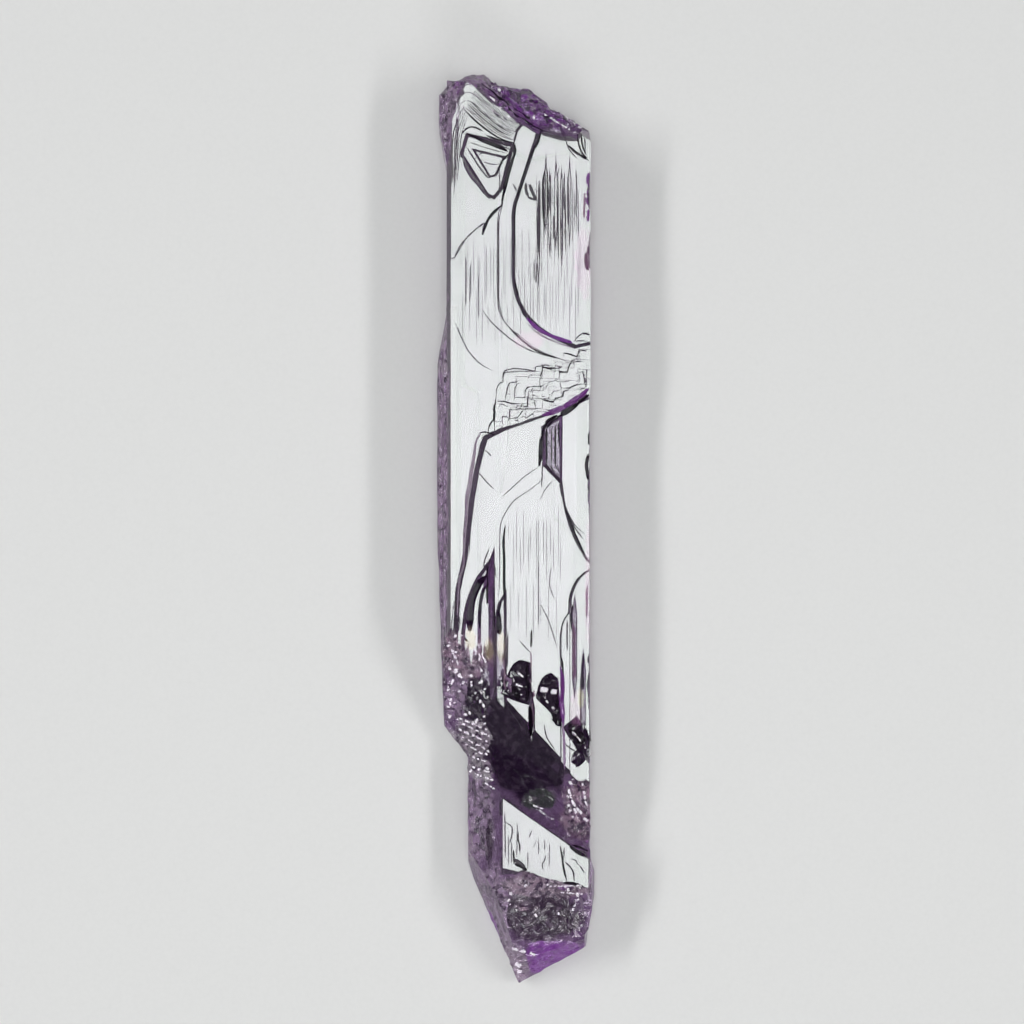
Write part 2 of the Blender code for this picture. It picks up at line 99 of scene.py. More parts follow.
class KunziteStudioSettings(bpy.types.PropertyGroup):
    camera_height: length("Camera height", 0.8, "Camera's height above the crystal's front face")
    view_width: length("View width", 0.16384, "Width of the picture at the front face")
    floor_size: length("Floor size", 6.0, "Side of the floor")
    floor_colour: colour("Floor colour", (0.80, 0.79, 0.79), "Pale floor")
    softbox_height: length("Softbox height", 1.3, "Height of the softbox over the floor")
    softbox_length: length("Softbox length", 0.56, "Softbox along the crystal")
    softbox_width: length("Softbox width", 0.36, "Softbox across the crystal")
    softbox_power: FloatProperty(name="Softbox power", default=0.34, min=0.0, description="Watts")
    softbox_spread: FloatProperty(name="Softbox spread", default=math.radians(45.0), subtype="ANGLE",
                                  description="How far the softbox light fans out")
    world_strength: FloatProperty(name="World strength", default=0.17, min=0.0, description="Room light")


def only(thing):
    bpy.ops.object.select_all(action="DESELECT")
    thing.select_set(True)
    bpy.context.view_layer.objects.active = thing


def node(tree, kind, name, **values):
    made = tree.nodes.new(kind)
    made.name = made.label = name
    for key, value in values.items():
        setattr(made, key, value)
    return made


def feed(tree, made, values):
    """Links each input to a socket, or gives it a plain value."""
    for key, value in values.items():
        if isinstance(value, bpy.types.NodeSocket):
            tree.links.new(value, made.inputs[key])
        else:
            made.inputs[key].default_value = value
    return made


def reckon(tree, name, operation, first, second):
    """One step of arithmetic, as its output socket."""
    made = node(tree, "ShaderNodeMath", name, operation=operation)
    return feed(tree, made, {0: first, 1: second}).outputs[0]


def mix(tree, name, factor, first, second, kind="RGBA"):
    made = node(tree, "ShaderNodeMix", name, data_type=kind)
    return feed(tree, made, {"Factor": factor, "A": first, "B": second}).outputs["Result"]


def ranged(tree, name, value, low, high, to_low=0.0, to_high=1.0, **settings):
    """A value taken from one range to another, and held at its ends."""
    made = node(tree, "ShaderNodeMapRange", name, **settings)
    feed(tree, made, {"Value": value, "From Min": low, "From Max": high, "To Min": to_low, "To Max": to_high})
    return made.outputs["Result"]


def clouds(tree, name, vector, scale, detail, roughness=0.5):
    made = node(tree, "ShaderNodeTexNoise", name)
    feed(tree, made, {"Vector": vector, "Scale": scale, "Detail": detail, "Roughness": roughness})
    return made.outputs["Fac"]


def cells(tree, name, vector, scale):
    made = node(tree, "ShaderNodeTexVoronoi", name, feature="F1")
    return feed(tree, made, {"Vector": vector, "Scale": scale})


def bump(tree, name, height, distance, strength=1.0, normal=None):
    made = node(tree, "ShaderNodeBump", name)
    feed(tree, made, {"Height": height, "Distance": distance, "Strength": strength})
    if normal:
        feed(tree, made, {"Normal": normal})
    return made.outputs["Normal"]


def new_group(name, inputs, outputs):
    """A shader node group with its inputs and their defaults, and with named value outputs."""
    group = bpy.data.node_groups.new(name, "ShaderNodeTree")
    for label, default in inputs.items():
        kind = "NodeSocketFloat" if isinstance(default, float) else "NodeSocketVector"
        group.interface.new_socket(name=label, in_out="INPUT", socket_type=kind).default_value = default
    for label in outputs:
        group.interface.new_socket(name=label, in_out="OUTPUT", socket_type="NodeSocketFloat")
    source = node(group, "NodeGroupInput", "In")
    target = node(group, "NodeGroupOutput", "Out")
    return group, source.outputs, target


def streak_group():
    """Growth lines: noise drawn out along Y, as a height from 0 to 1."""
    inputs = {"Vector": ORIGIN, "Across": 900.0, "Along": 20.0}
    group, given, target = new_group("Growth lines", inputs, ["Height"])
    split = feed(group, node(group, "ShaderNodeSeparateXYZ", "Split"), {0: given["Vector"]})
    join = node(group, "ShaderNodeCombineXYZ", "Join")
    for axis, size in (("X", "Across"), ("Y", "Along"), ("Z", "Across")):
        scaled = reckon(group, "Scale " + axis, "MULTIPLY", split.outputs[axis], given[size])
        feed(group, join, {axis: scaled})
    feed(group, target, {"Height": clouds(group, "Lines", join.outputs[0], 1.0, 5.0, 0.6)})
    return group


def grain_group():
    """Fine grain of an etched or matt surface, as a height from 0 to 1."""
    group, given, target = new_group("Fine grain", {"Vector": ORIGIN, "Scale": 2500.0}, ["Height"])
    grit = cells(group, "Cells", given["Vector"], given["Scale"]).outputs["Distance"]
    dust = clouds(group, "Dust", given["Vector"], given["Scale"], 4.0)
    feed(group, target, {"Height": reckon(group, "Both", "MULTIPLY", grit, dust)})
    return group


def mottle_group():
    """Painted shade and painted glints, as dark and light flecks of an etched skin, as two masks from 0 to 1.
    """
    group, given, target = new_group("Mottle", {"Vector": ORIGIN, "Scale": 900.0}, ["Shade", "Glint"])
    soft = clouds(group, "Clouds", given["Vector"], given["Scale"], 3.0)
    facets = cells(group, "Cells", given["Vector"], given["Scale"]).outputs["Color"]
    mixed = mix(group, "Facets and clouds", 0.42, soft, facets, "FLOAT")
    finer = reckon(group, "Finer", "MULTIPLY", given["Scale"], 2.2)
    flecks = clouds(group, "Flecks", given["Vector"], finer, 3.0)
    feed(group, target, {"Shade": ranged(group, "Shade", mixed, 0.36, 0.60),
                         "Glint": ranged(group, "Glint", flecks, 0.60, 0.70)})
    return group


def patch_group():
    """A soft-edged patch around a centre, ragged by noise, as a mask from 0 to 1."""
    inputs = {"Vector": ORIGIN, "Centre": ORIGIN, "Size": (1.0, 1.0, 1.0), "Ragged": 0.5}
    group, given, target = new_group("Patch", inputs, ["Mask"])
    away = node(group, "ShaderNodeVectorMath", "Away", operation="SUBTRACT")
    sized = node(group, "ShaderNodeVectorMath", "Sized", operation="DIVIDE")
    reach = node(group, "ShaderNodeVectorMath", "Reach", operation="LENGTH")
    feed(group, away, {0: given["Vector"], 1: given["Centre"]})
    feed(group, sized, {0: away.outputs[0], 1: given["Size"]})
    feed(group, reach, {0: sized.outputs[0]})
    rough = clouds(group, "Ragged edge", given["Vector"], 900.0, 3.0)
    centred = reckon(group, "Centred", "SUBTRACT", rough, 0.5)
    spread = reckon(group, "Spread", "MULTIPLY", centred, given["Ragged"])
    total = reckon(group, "Total", "ADD", reach.outputs["Value"], spread)
    edge = ranged(group, "Edge", total, 1.0, 0.6, interpolation_type="SMOOTHSTEP")
    feed(group, target, {"Mask": edge})
    return group


STREAKS = streak_group()
GRAIN = grain_group()
PATCH = patch_group()
MOTTLE = mottle_group()

# Cream stains, and painted rosy light on the bright faces: middle and half size in millimetres
STAINS = [
    ((-7.3, -17.6, 10.0), (1.0, 2.4, 3.0)),
    ((-4.4, -19.2, 9.6), (1.0, 2.2, 3.0)),
    ((-2.4, -18.6, 9.8), (0.7, 3.2, 3.0)),
    ((10.4, -27.0, 9.6), (0.7, 2.0, 2.0)),
]
PAINTED_ROSY_LIGHTS = [
    ((10.9, 43.0, 11.4), (1.7, 7.0, 3.0)),
    ((2.2, 30.4, 11.4), (3.0, 1.8, 3.0)),
    ((11.8, -9.0, 10.4), (0.9, 12.0, 3.0)),
    ((9.6, -29.0, 10.4), (1.2, 4.0, 3.0)),
]
PAINTED_ROSY_LIGHT_SHARE = 0.55
# Heights of the finest relief
WAVE_RELIEF = 0.11 * MM
LINE_RELIEF = 0.03 * MM
ETCH_RELIEF = 0.16 * MM


def use_group(tree, group, name, values):
    made = node(tree, "ShaderNodeGroup", name)
    made.node_tree = group
    return feed(tree, made, values)


def patches(tree, place, name, spots):
    """The joint mask of several ragged patches."""
    mask = 0.0
    for i, (centre, size) in enumerate(spots):
        reach = {"Centre": [c * MM for c in centre], "Size": [s * MM for s in size]}
        patch = use_group(tree, PATCH, f"{name} {i + 1}", {"Vector": place, **reach, "Ragged": 0.9})
        mask = reckon(tree, f"With {name.lower()} {i + 1}", "MAXIMUM", mask, patch.outputs["Mask"])
    return mask


def kunzite_material(settings):
    material = bpy.data.materials.new("kunzite")
    material.use_nodes = True
    tree = material.node_tree
    place = node(tree, "ShaderNodeTexCoord", "Place").outputs["Object"]
    etched = node(tree, "ShaderNodeAttribute", "Etched", attribute_name="etched").outputs["Fac"]
    skin = node(tree, "ShaderNodeAttribute", "Tone", attribute_name="tone").outputs["Color"]

    # Painted shade and painted glints: dark and light flecks over the etched skin stand for facets turned
    # from or towards the lamps
    mottle = use_group(tree, MOTTLE, "Mottle", {"Vector": place, "Scale": 1300.0})
    unlit = reckon(tree, "Unlit", "SUBTRACT", 1.0, mottle.outputs["Shade"])
    painted_shade = reckon(tree, "Dark where etched", "MULTIPLY", unlit, etched)
    painted_glint = reckon(tree, "Glint where etched", "MULTIPLY", mottle.outputs["Glint"], etched)
    # Painted rosy light on the bright faces, then the real cream stains
    painted_rosy_light = reckon(tree, "Soft blush", "MULTIPLY", patches(tree, place, "Painted rosy light", PAINTED_ROSY_LIGHTS), PAINTED_ROSY_LIGHT_SHARE)
    stain = patches(tree, place, "Stain", STAINS)
    for name, share, shade_light_and_stain_colour in (
        ("Darker", painted_shade, settings.painted_shade_colour), ("Lighter", painted_glint, settings.painted_glint_colour),
        ("Rosy", painted_rosy_light, settings.painted_rosy_light_colour), ("Stained", stain, settings.stain_colour),
    ):
        skin = mix(tree, name, share, skin, (*shade_light_and_stain_colour, 1.0))

    waves = clouds(tree, "Waves", place, 90.0, 1.0)
    streaks = use_group(tree, STREAKS, "Growth lines", {"Vector": place, "Across": 800.0, "Along": 12.0})
    grain = use_group(tree, GRAIN, "Etch grain", {"Vector": place, "Scale": 2600.0})
    pits = reckon(tree, "Grain where etched", "MULTIPLY", grain.outputs["Height"], etched)
    relief = bump(tree, "Slow waves", waves, WAVE_RELIEF)
    relief = bump(tree, "Line relief", streaks.outputs["Height"], LINE_RELIEF, 1.0, relief)
    relief = bump(tree, "Etch relief", pits, ETCH_RELIEF, 0.9, relief)
    frost = ranged(tree, "Frost", etched, 0.0, 1.0, settings.polish, settings.frost)
    feed(tree, tree.nodes["Principled BSDF"], {
        "Base Color": skin, "Roughness": frost, "Normal": relief,
        "IOR": 1.67, "Transmission Weight": 0.75, "Metallic": 0.0})

    depth = node(tree, "ShaderNodeVolumeAbsorption", "Depth")
    feed(tree, depth, {"Color": (*settings.body_colour, 1.0), "Density": settings.density})
    feed(tree, tree.nodes["Material Output"], {"Volume": depth.outputs["Volume"]})
    return material


def floor_material(settings):
    material = bpy.data.materials.new("pale_floor")
    material.use_nodes = True
    tree = material.node_tree
    place = node(tree, "ShaderNodeTexCoord", "Place").outputs["Object"]
    grain = use_group(tree, GRAIN, "Paper grain", {"Vector": place, "Scale": 1400.0})
    pale = (*settings.floor_colour, 1.0)
    dusty = (*(0.96 * c for c in settings.floor_colour), 1.0)
    tone = mix(tree, "Tone", grain.outputs["Height"], pale, dusty)
    feed(tree, tree.nodes["Principled BSDF"], {"Base Color": tone, "Roughness": 0.7})
    return material


# Tones of the clear growth faces, and of what lies in grooves and zones; the black, grey, dark violet and
# dusky tones and the risers' tone are painted shade, the lilac, rose and whitish tones painted highlights
TONES = {
    "clear": (0.72, 0.72, 0.72),
    "side": (0.50, 0.29, 0.60),
    "painted_riser_shade": (0.19, 0.155, 0.21),
    "painted_pale_shade": (0.42, 0.40, 0.44),
    "painted_grey_shade": (0.20, 0.18, 0.22),
    "painted_black_shade": (0.03, 0.022, 0.035),
    "pale": (0.90, 0.90, 0.92),
    "band": (0.92, 0.76, 0.92),
    "violet": (0.62, 0.18, 0.80),
    "royal": (0.66, 0.12, 1.0),
    "painted_lilac_highlight": (0.98, 0.76, 1.0),
    "rose": (1.0, 0.66, 0.88),
    "mauve": (0.90, 0.58, 1.0),
    "painted_dark_shade": (0.030, 0.010, 0.046),
    "painted_dusky_shade": (0.07, 0.035, 0.08),
    "moss": (0.11, 0.15, 0.12),
    "vivid": (0.66, 0.14, 1.0),
    "earth": (0.80, 0.56, 0.72),
    "ash": (0.94, 0.86, 0.94),
}
CLEAR_DRIFT = 0.02

# Engraved lines, each with its width, tone and route over the front face, in millimetres; their black and
# grey tones are painted shade, their lilac and rose ones painted highlights
FAN_HIGH = [(-6.1, 71.2), (-4.2, 69.4), (-2.1, 67.5), (-0.2, 66.1), (1.3, 65.3)]
FAN_LOW = [(-8.2, 67.2), (-6.4, 65.4), (-4.6, 64), (-3, 62.9), (-1.3, 62.2)]
FAN_LINES = [
    (0.03, 0.1, "painted_pale_shade"), (0.085, 0.08, "painted_pale_shade"), (0.14, 0.11, "painted_grey_shade"), (0.19, 0.08, "painted_pale_shade"),
    (0.24, 0.12, "painted_grey_shade"), (0.29, 0.08, "painted_pale_shade"), (0.345, 0.12, "painted_grey_shade"), (0.4, 0.08, "painted_pale_shade"),
    (0.45, 0.1, "painted_grey_shade"), (0.5, 0.08, "painted_pale_shade"), (0.56, 0.12, "painted_grey_shade"), (0.62, 0.2, "painted_black_shade"),
    (0.69, 0.14, "painted_grey_shade"), (0.76, 0.22, "painted_black_shade"), (0.83, 0.14, "painted_grey_shade"), (0.9, 0.12, "painted_grey_shade"),
    (1, 0.3, "painted_black_shade"),
]
BEND_OUT = [(-8.3, 67.8), (-9.3, 65.9), (-10, 63.4), (-10.2, 60), (-10.1, 55.6)]
BEND_IN = [(-7.6, 66.6), (-8.2, 65), (-8.8, 62.8), (-9, 60.2), (-9.4, 55.8)]
BEND_LINES = [(0, 0.18, "painted_grey_shade"), (0.25, 0.1, "painted_pale_shade"), (0.5, 0.16, "painted_grey_shade"), (0.75, 0.1, "painted_pale_shade"),
              (1, 0.14, "painted_grey_shade")]
LINES = [
    # Under the rough rim
    (0.34, "painted_black_shade", [(-5.4, 71.6), (-3, 69.7), (-0.8, 68), (2.4, 66)]),
    (0.26, "painted_black_shade", [(-4.4, 69.9), (-1.8, 68), (-0.5, 66.8), (1.8, 65.5), (4, 64.2), (6.2, 63.6)]),
    (0.16, "painted_grey_shade", [(1.4, 65.2), (3.2, 64), (5.6, 63.3), (8, 62.8)]),
    # Triangle at the top left
    (0.22, "painted_black_shade", [(-8.6, 63.5), (-8, 64.2), (-7.4, 64.5), (-6.4, 64.4), (-5.3, 63.8)]),
    (0.62, "painted_black_shade", [(-7.8, 63.4), (-6.6, 62.9), (-5.1, 62.3), (-3.8, 61.8), (-2.6, 61.3), (-1.4, 60.7)]),
    (0.2, "painted_black_shade", [(-4.8, 63.2), (-2.6, 62.4), (-0.3, 62)]),
    (0.16, "painted_grey_shade", [(-3.8, 62.4), (-2.4, 61.8), (-0.8, 61.4)]),
    (0.14, "painted_grey_shade", [(-3.4, 62), (-2, 61.4), (-0.8, 60.9)]),
    (0.56, "painted_black_shade", [(-0.3, 62), (-0.15, 60.8), (-0.6, 59.2), (-1.2, 57.2), (-1.7, 55.2), (-2.2, 52.8),
                   (-2.3, 51.7)]),
    (0.3, "painted_black_shade", [(-0.9, 60.4), (-2.1, 59.2), (-2.7, 58.1), (-3, 56.9)]),
    (0.16, "painted_grey_shade", [(-0.9, 59.6), (-1.7, 58.2), (-1.9, 56.8)]),
    (0.12, "painted_pale_shade", [(-2.7, 58.4), (-2.6, 56), (-2.7, 54.7)]),
    (0.74, "painted_pale_shade", [(-8.6, 60), (-7.9, 58.2), (-7, 56.6), (-5.9, 55.3), (-4.9, 53.8), (-4.2, 53)]),
    (0.18, "painted_grey_shade", [(-7.8, 61.2), (-6.7, 59.4), (-5.4, 57.5), (-4.4, 56.4), (-3.8, 56.7)]),
    (0.1, "painted_pale_shade", [(-7.4, 62.1), (-4.8, 61.2), (-1.8, 60.4)]),
    (0.1, "painted_pale_shade", [(-6.6, 59.4), (-5.2, 60.4), (-2.6, 59.8)]),
    (0.1, "painted_pale_shade", [(-5.2, 59), (-4, 58.6), (-2.9, 58.6)]),
    (0.1, "painted_pale_shade", [(-9.6, 60.6), (-9.8, 57.6), (-9.9, 53.6)]),
    # Long line from the triangle to the staircase
    (0.46, "painted_black_shade", [(-2.2, 52), (-3.5, 50.9), (-4.3, 49.9), (-4.9, 48.8), (-5.4, 47.2)]),
    (0.1, "painted_grey_shade", [(-5.1, 49.3), (-7.4, 47.2), (-9, 45.5), (-9.9, 43.4)]),
    (0.16, "painted_grey_shade", [(-2.4, 51.6), (-2.9, 49.8), (-2.9, 43), (-2.9, 37), (-2.7, 35.2), (-2.1, 33.6)]),
    (0.22, "painted_black_shade", [(-2.1, 33.6), (-0.2, 31.5), (2.2, 29.4), (4.6, 28.1), (7.4, 27.3)]),
    (0.12, "painted_grey_shade", [(-5.6, 35.5), (-4.2, 33.6), (-2.6, 32), (-0.2, 30.1), (2.2, 28.8), (4.6, 27.9)]),
    (0.11, "painted_grey_shade", [(-9.8, 33.3), (-8.8, 31), (-7.7, 28.8), (-6.4, 27.2), (-5.1, 26.2), (-3.8, 25.6)]),
    # Line from the rim down to the violet ribbon
    (0.5, "painted_black_shade", [(4, 64), (3.6, 62.4), (2.9, 61.1), (2.4, 60), (1.8, 58.4), (1.3, 56.8), (0.8, 54.9),
                   (0.2, 53.3), (-0.2, 51.4)]),
    (0.26, "painted_black_shade", [(-0.2, 51.6), (-0.2, 48), (-0.2, 46), (-0.4, 44.6)]),
    (0.16, "painted_grey_shade", [(-0.4, 44.8), (-0.3, 43), (-0.4, 41)]),
    (0.34, "painted_black_shade", [(-0.2, 39.8), (0.1, 38.6), (0.4, 37.4)]),
    (0.62, "painted_grey_shade", [(0.3, 37.6), (0.7, 36.2), (1.2, 34.8), (1.8, 33.9)]),
    (0.9, "royal", [(1.7, 34), (3, 32.7), (4.6, 31.6), (6.7, 30.7), (9, 30)]),
    (0.18, "painted_lilac_highlight", [(1.9, 32.9), (3.4, 31.6), (5.4, 30.5), (7.8, 29.6), (9.6, 29)]),
    # Streaks on the right
    (0.26, "painted_grey_shade", [(3.7, 56), (3.7, 52), (3.6, 47), (3.8, 43)]),
    (0.22, "painted_black_shade", [(4.9, 58.1), (4.4, 56.6), (4.3, 53), (4.5, 49.2), (4.5, 47.6)]),
    (0.34, "painted_black_shade", [(5, 57.6), (5, 54), (5, 50.2)]),
    (0.14, "painted_grey_shade", [(5.6, 57.2), (5.5, 53), (5.6, 48), (5.5, 46.4)]),
    (0.2, "painted_pale_shade", [(6, 50.4), (6, 46.6)]),
    (0.2, "painted_grey_shade", [(6.2, 54.6), (6.2, 50), (6.3, 47)]),
    (0.18, "painted_grey_shade", [(6.9, 58), (6.6, 56), (6.7, 50), (6.8, 44)]),
    (0.18, "painted_grey_shade", [(7.1, 51.2), (7.2, 48)]),
    (0.16, "painted_pale_shade", [(7.4, 54), (7.4, 49), (7.5, 46.6)]),
    (0.16, "painted_grey_shade", [(7.8, 57.4), (7.7, 54), (7.9, 50), (7.8, 46.6)]),
    (0.14, "painted_pale_shade", [(8.3, 54), (8.3, 49)]),
    (0.14, "painted_grey_shade", [(9.6, 57.8), (9.7, 54), (9.6, 50.4)]),
    (0.14, "painted_pale_shade", [(2.9, 43.2), (2.9, 40)]),
    (0.16, "painted_pale_shade", [(3.3, 42.6), (3.2, 39.6)]),
    (0.12, "painted_pale_shade", [(-8, 44), (-8, 36)]),
    (0.16, "painted_pale_shade", [(-7.3, 42.6), (-7.4, 36.4)]),
    (0.14, "painted_pale_shade", [(-6, 40.6), (-6, 33.8)]),
    # Corner arcs at the top right
    (0.34, "painted_black_shade", [(8.4, 61.6), (9.6, 60.5), (10.7, 59.8), (11.6, 59.2)]),
    (0.14, "painted_grey_shade", [(7.8, 63.2), (8.5, 61), (9.7, 59.6)]),
    (0.22, "painted_black_shade", [(9.9, 63.6), (10, 62), (10.6, 60.4), (11.4, 59.6)]),
    (0.22, "painted_black_shade", [(10.5, 63.6), (10.6, 61.8), (11.2, 60.2)]),
    (0.18, "painted_grey_shade", [(11, 63), (11.1, 61)]),
    # Hatch of painted shade beside the long line
    (0.4, "painted_grey_shade", [(1.6, 55.6), (1.6, 54.4), (2, 53.4)]),
    (0.44, "painted_grey_shade", [(2.2, 55.4), (2.6, 54.2), (3.2, 53)]),
    (0.3, "painted_grey_shade", [(1.8, 53.4), (2.6, 53), (3.6, 52.9)]),
    (0.26, "painted_grey_shade", [(3, 54.6), (3.5, 54.2)]),
    (0.22, "painted_pale_shade", [(-0.4, 55.4), (0, 54.4), (0.2, 53.8)]),
    # Violet wall under the staircase
    (0.42, "painted_grey_shade", [(-1.6, 16.2), (0.6, 17), (3.2, 17.9), (5, 18.4)]),
    (0.95, "violet", [(4.2, 18.3), (6.2, 19), (8.2, 20), (10.2, 21.4), (11.6, 22.6)]),
    (0.8, "painted_black_shade", [(6.6, 18), (8.4, 19.2), (10.2, 20.5), (11.7, 21.7)]),
    # Arrow pit below it
    (0.66, "painted_black_shade", [(6.6, 18.4), (5.3, 17.6), (4.5, 16.2), (4.1, 14.4), (3.9, 11.6), (3.7, 10.2)]),
    (0.8, "painted_black_shade", [(5, 16.4), (5.8, 17.4), (6.8, 18)]),
    (0.26, "painted_black_shade", [(4.9, 16.4), (4.9, 13), (4.9, 10.4)]),
    (0.16, "painted_grey_shade", [(5.7, 16.2), (5.7, 10.6)]),
    (0.24, "painted_black_shade", [(6.3, 16.8), (6.3, 13), (6.3, 10.4)]),
    (0.28, "painted_black_shade", [(6.9, 17.2), (6.95, 14.4), (7.1, 12.4)]),
    (0.34, "painted_black_shade", [(4.9, 10.5), (5.8, 9.2), (7, 8)]),
    (0.14, "painted_grey_shade", [(5.5, 10.4), (6.2, 9.2), (6.8, 8.6)]),
    (0.18, "painted_grey_shade", [(6.3, 10.5), (7, 9.2)]),
    (0.14, "painted_grey_shade", [(4.3, 12.2), (4.2, 9.4), (4.1, 6.8)]),
    (0.1, "painted_pale_shade", [(3.5, 10), (1.4, 8.6), (-0.6, 6.8), (-2.1, 5.4)]),
    (0.11, "painted_pale_shade", [(4.6, 8.4), (2.2, 6.4), (-0.2, 4.8), (-1.4, 3.2), (-2.4, 1.2), (-2.6, -1.6), (-2.6, -6.4),
                    (-2.8, -10.8)]),
    (0.1, "painted_pale_shade", [(5.8, 7.8), (4.6, 6.4), (3.9, 4.8)]),
    (0.16, "painted_grey_shade", [(7.1, 7.8), (7.5, 6.2), (7.9, 4), (8.6, 2.2), (9.6, 0.6), (11, -0.6)]),
    (0.2, "painted_grey_shade", [(7, 7.6), (7.4, 5.2)]),
    (0.4, "painted_black_shade", [(7.9, 3.4), (8.6, 1.6), (9.4, -0.6), (10.3, -2.6), (11.1, -4)]),
    (0.14, "painted_grey_shade", [(8.8, 1.4), (9.8, -0.2), (10.8, -1.4)]),
    # Left band from the staircase to the foot of the blade
    (0.2, "painted_black_shade", [(-3.4, 15.2), (-4.4, 15.6), (-5, 15.7), (-5.8, 15.5)]),
    (0.62, "band", [(-5.7, 15.4), (-6.4, 14.2), (-6.7, 12), (-7.1, 9.6), (-7.4, 7.2), (-7.8, 5.4),
                     (-7.9, 2.4), (-8.1, 0), (-8.3, -3), (-8.4, -5.6), (-9, -7.8), (-9.3, -11),
                     (-9.4, -13.6)]),
    (0.16, "painted_grey_shade", [(-5.2, 15), (-5.8, 13.4), (-6.1, 11.2), (-6.5, 8.8), (-6.9, 6.6), (-7.1, 3.2),
                     (-7.3, -0.2), (-7.5, -4)]),
    (0.12, "painted_grey_shade", [(-5.3, 13.2), (-4.5, 12.4), (-3.9, 11.8)]),
    (0.12, "painted_grey_shade", [(-6.1, 9.4), (-5, 8), (-3.6, 6.6)]),
    # Arched crescents
    (0.14, "painted_grey_shade", [(-4.3, -3), (-5, -4.8), (-5.2, -6.6)]),
    (0.36, "painted_black_shade", [(-4.6, -5.6), (-4.6, -9.6), (-4.6, -12)]),
    (1.3, "painted_dark_shade", [(-4.8, -7.4), (-6, -8.6), (-6.9, -10.4), (-7.4, -13), (-7.4, -16.2)]),
    (1.1, "painted_dark_shade", [(-4.9, -9), (-5.5, -10.6), (-5.8, -12.8), (-5.8, -15.8)]),
    (0.9, "painted_dark_shade", [(-2.4, -11.6), (-2.8, -13), (-2.8, -15), (-2.6, -16.8)]),
    (0.2, "painted_black_shade", [(-4.2, -11.8), (-4.2, -15.6)]),
    (0.14, "painted_grey_shade", [(-3.4, -10.8), (-3.8, -12.8)]),
    (0.38, "painted_black_shade", [(-1.7, 0.8), (-2, -1.6), (-1.9, -4.6), (-1.9, -8), (-1.8, -12.2)]),
    (0.12, "painted_pale_shade", [(-3.5, -5), (-3.2, -7.6)]),
    (0.1, "painted_pale_shade", [(-9.9, -11.4), (-10.2, -14), (-10.3, -17.6)]),
    (0.14, "painted_grey_shade", [(-11.1, -12), (-11.2, -17.4)]),
    (0.1, "painted_pale_shade", [(-9.6, -12.8), (-9, -14.4), (-9.2, -16)]),
    # Right arcs, and bars of painted rosy highlight
    (0.26, "painted_black_shade", [(11.3, -6.6), (9.8, -8), (8.9, -9.8), (8.4, -12)]),
    (0.16, "painted_grey_shade", [(9.7, -8.4), (9, -10), (8.8, -12.8)]),
    (0.3, "painted_black_shade", [(9.2, -11.8), (8.9, -13.6), (9, -16.4)]),
    (0.22, "painted_black_shade", [(8.5, -13.2), (7.7, -14.4), (7.2, -16)]),
    (0.16, "painted_grey_shade", [(7.1, -16.2), (7.1, -21)]),
    (0.16, "painted_grey_shade", [(8.2, -14.4), (8.2, -19.4)]),
    (0.24, "painted_black_shade", [(7.3, -20.4), (7.5, -22), (7.5, -24)]),
    (0.66, "rose", [(9.2, -15), (9.2, -20), (9.3, -24)]),
    (0.28, "painted_dark_shade", [(9.8, -13.6), (9.7, -18), (9.7, -24.6)]),
    (0.46, "painted_dark_shade", [(10.9, -19.8), (10.6, -22), (10.8, -25.6)]),
    (0.2, "painted_grey_shade", [(10.4, -23), (10.4, -30.4), (10.9, -33.4)]),
    (0.26, "painted_black_shade", [(2.5, -16), (2.4, -18.8)]),
    (0.2, "rose", [(2.4, -19.4), (2.4, -26)]),
    (0.18, "painted_grey_shade", [(-1.3, -16.4), (-1.4, -22)]),
    (0.4, "rose", [(-2, -19.8), (-1.7, -25.6)]),
    (0.1, "painted_pale_shade", [(0.6, -17.8), (2.2, -19.6)]),
    (0.1, "painted_pale_shade", [(4, -12), (5.4, -15), (6.6, -19)]),
    (0.1, "painted_pale_shade", [(3.6, -4), (3.6, -16)]),
    (0.1, "painted_pale_shade", [(5.6, -6), (5.4, -9), (6.2, -11)]),
    # Pits painted black as shade above the white band
    (0.8, "painted_black_shade", [(1.9, -21.4), (1.9, -24.4), (1.8, -27.2)]),
    (0.8, "painted_black_shade", [(-0.8, -24.8), (-0.2, -26), (0.4, -27.2)]),
    (0.6, "mauve", [(-1.6, -23.4), (-1, -24.6), (-0.6, -26)]),
    (0.7, "painted_black_shade", [(6.6, -24.4), (6.7, -28.4)]),
    (0.3, "rose", [(2.9, -25.6), (2.7, -28), (2.9, -32.6)]),
    (0.8, "violet", [(7.1, -21.8), (7.4, -24.4), (7.3, -27.6), (7.6, -31)]),
    (0.34, "mauve", [(7.5, -30), (7.7, -34), (7.8, -38.4)]),
    (0.14, "painted_grey_shade", [(-1.4, -28.4), (-0.2, -30), (0.6, -31.2), (0.9, -32.4)]),
    (0.12, "painted_grey_shade", [(4.5, -31.2), (5, -33.4), (6.4, -35.4)]),
    (0.2, "painted_grey_shade", [(7.9, -34.4), (9.6, -35.6), (11, -36.4)]),
    # Cracks and lines of the foot's bright face
    (0.14, "painted_grey_shade", [(-1.8, -46.8), (-0.6, -47.8), (-1, -50.4)]),
    (0.16, "painted_black_shade", [(0.4, -48.4), (0.3, -49.6), (0.6, -50.6), (0.6, -51.8)]),
    (0.1, "painted_grey_shade", [(2.6, -48.2), (2, -49.4)]),
    (0.09, "painted_grey_shade", [(1.9, -51.6), (1.9, -54.4)]),
    (0.09, "painted_pale_shade", [(2.5, -51), (3, -50.6), (3.2, -49.8)]),
    (0.12, "painted_grey_shade", [(4.7, -52.2), (4.6, -53), (4.2, -53.6), (4.4, -54.6)]),
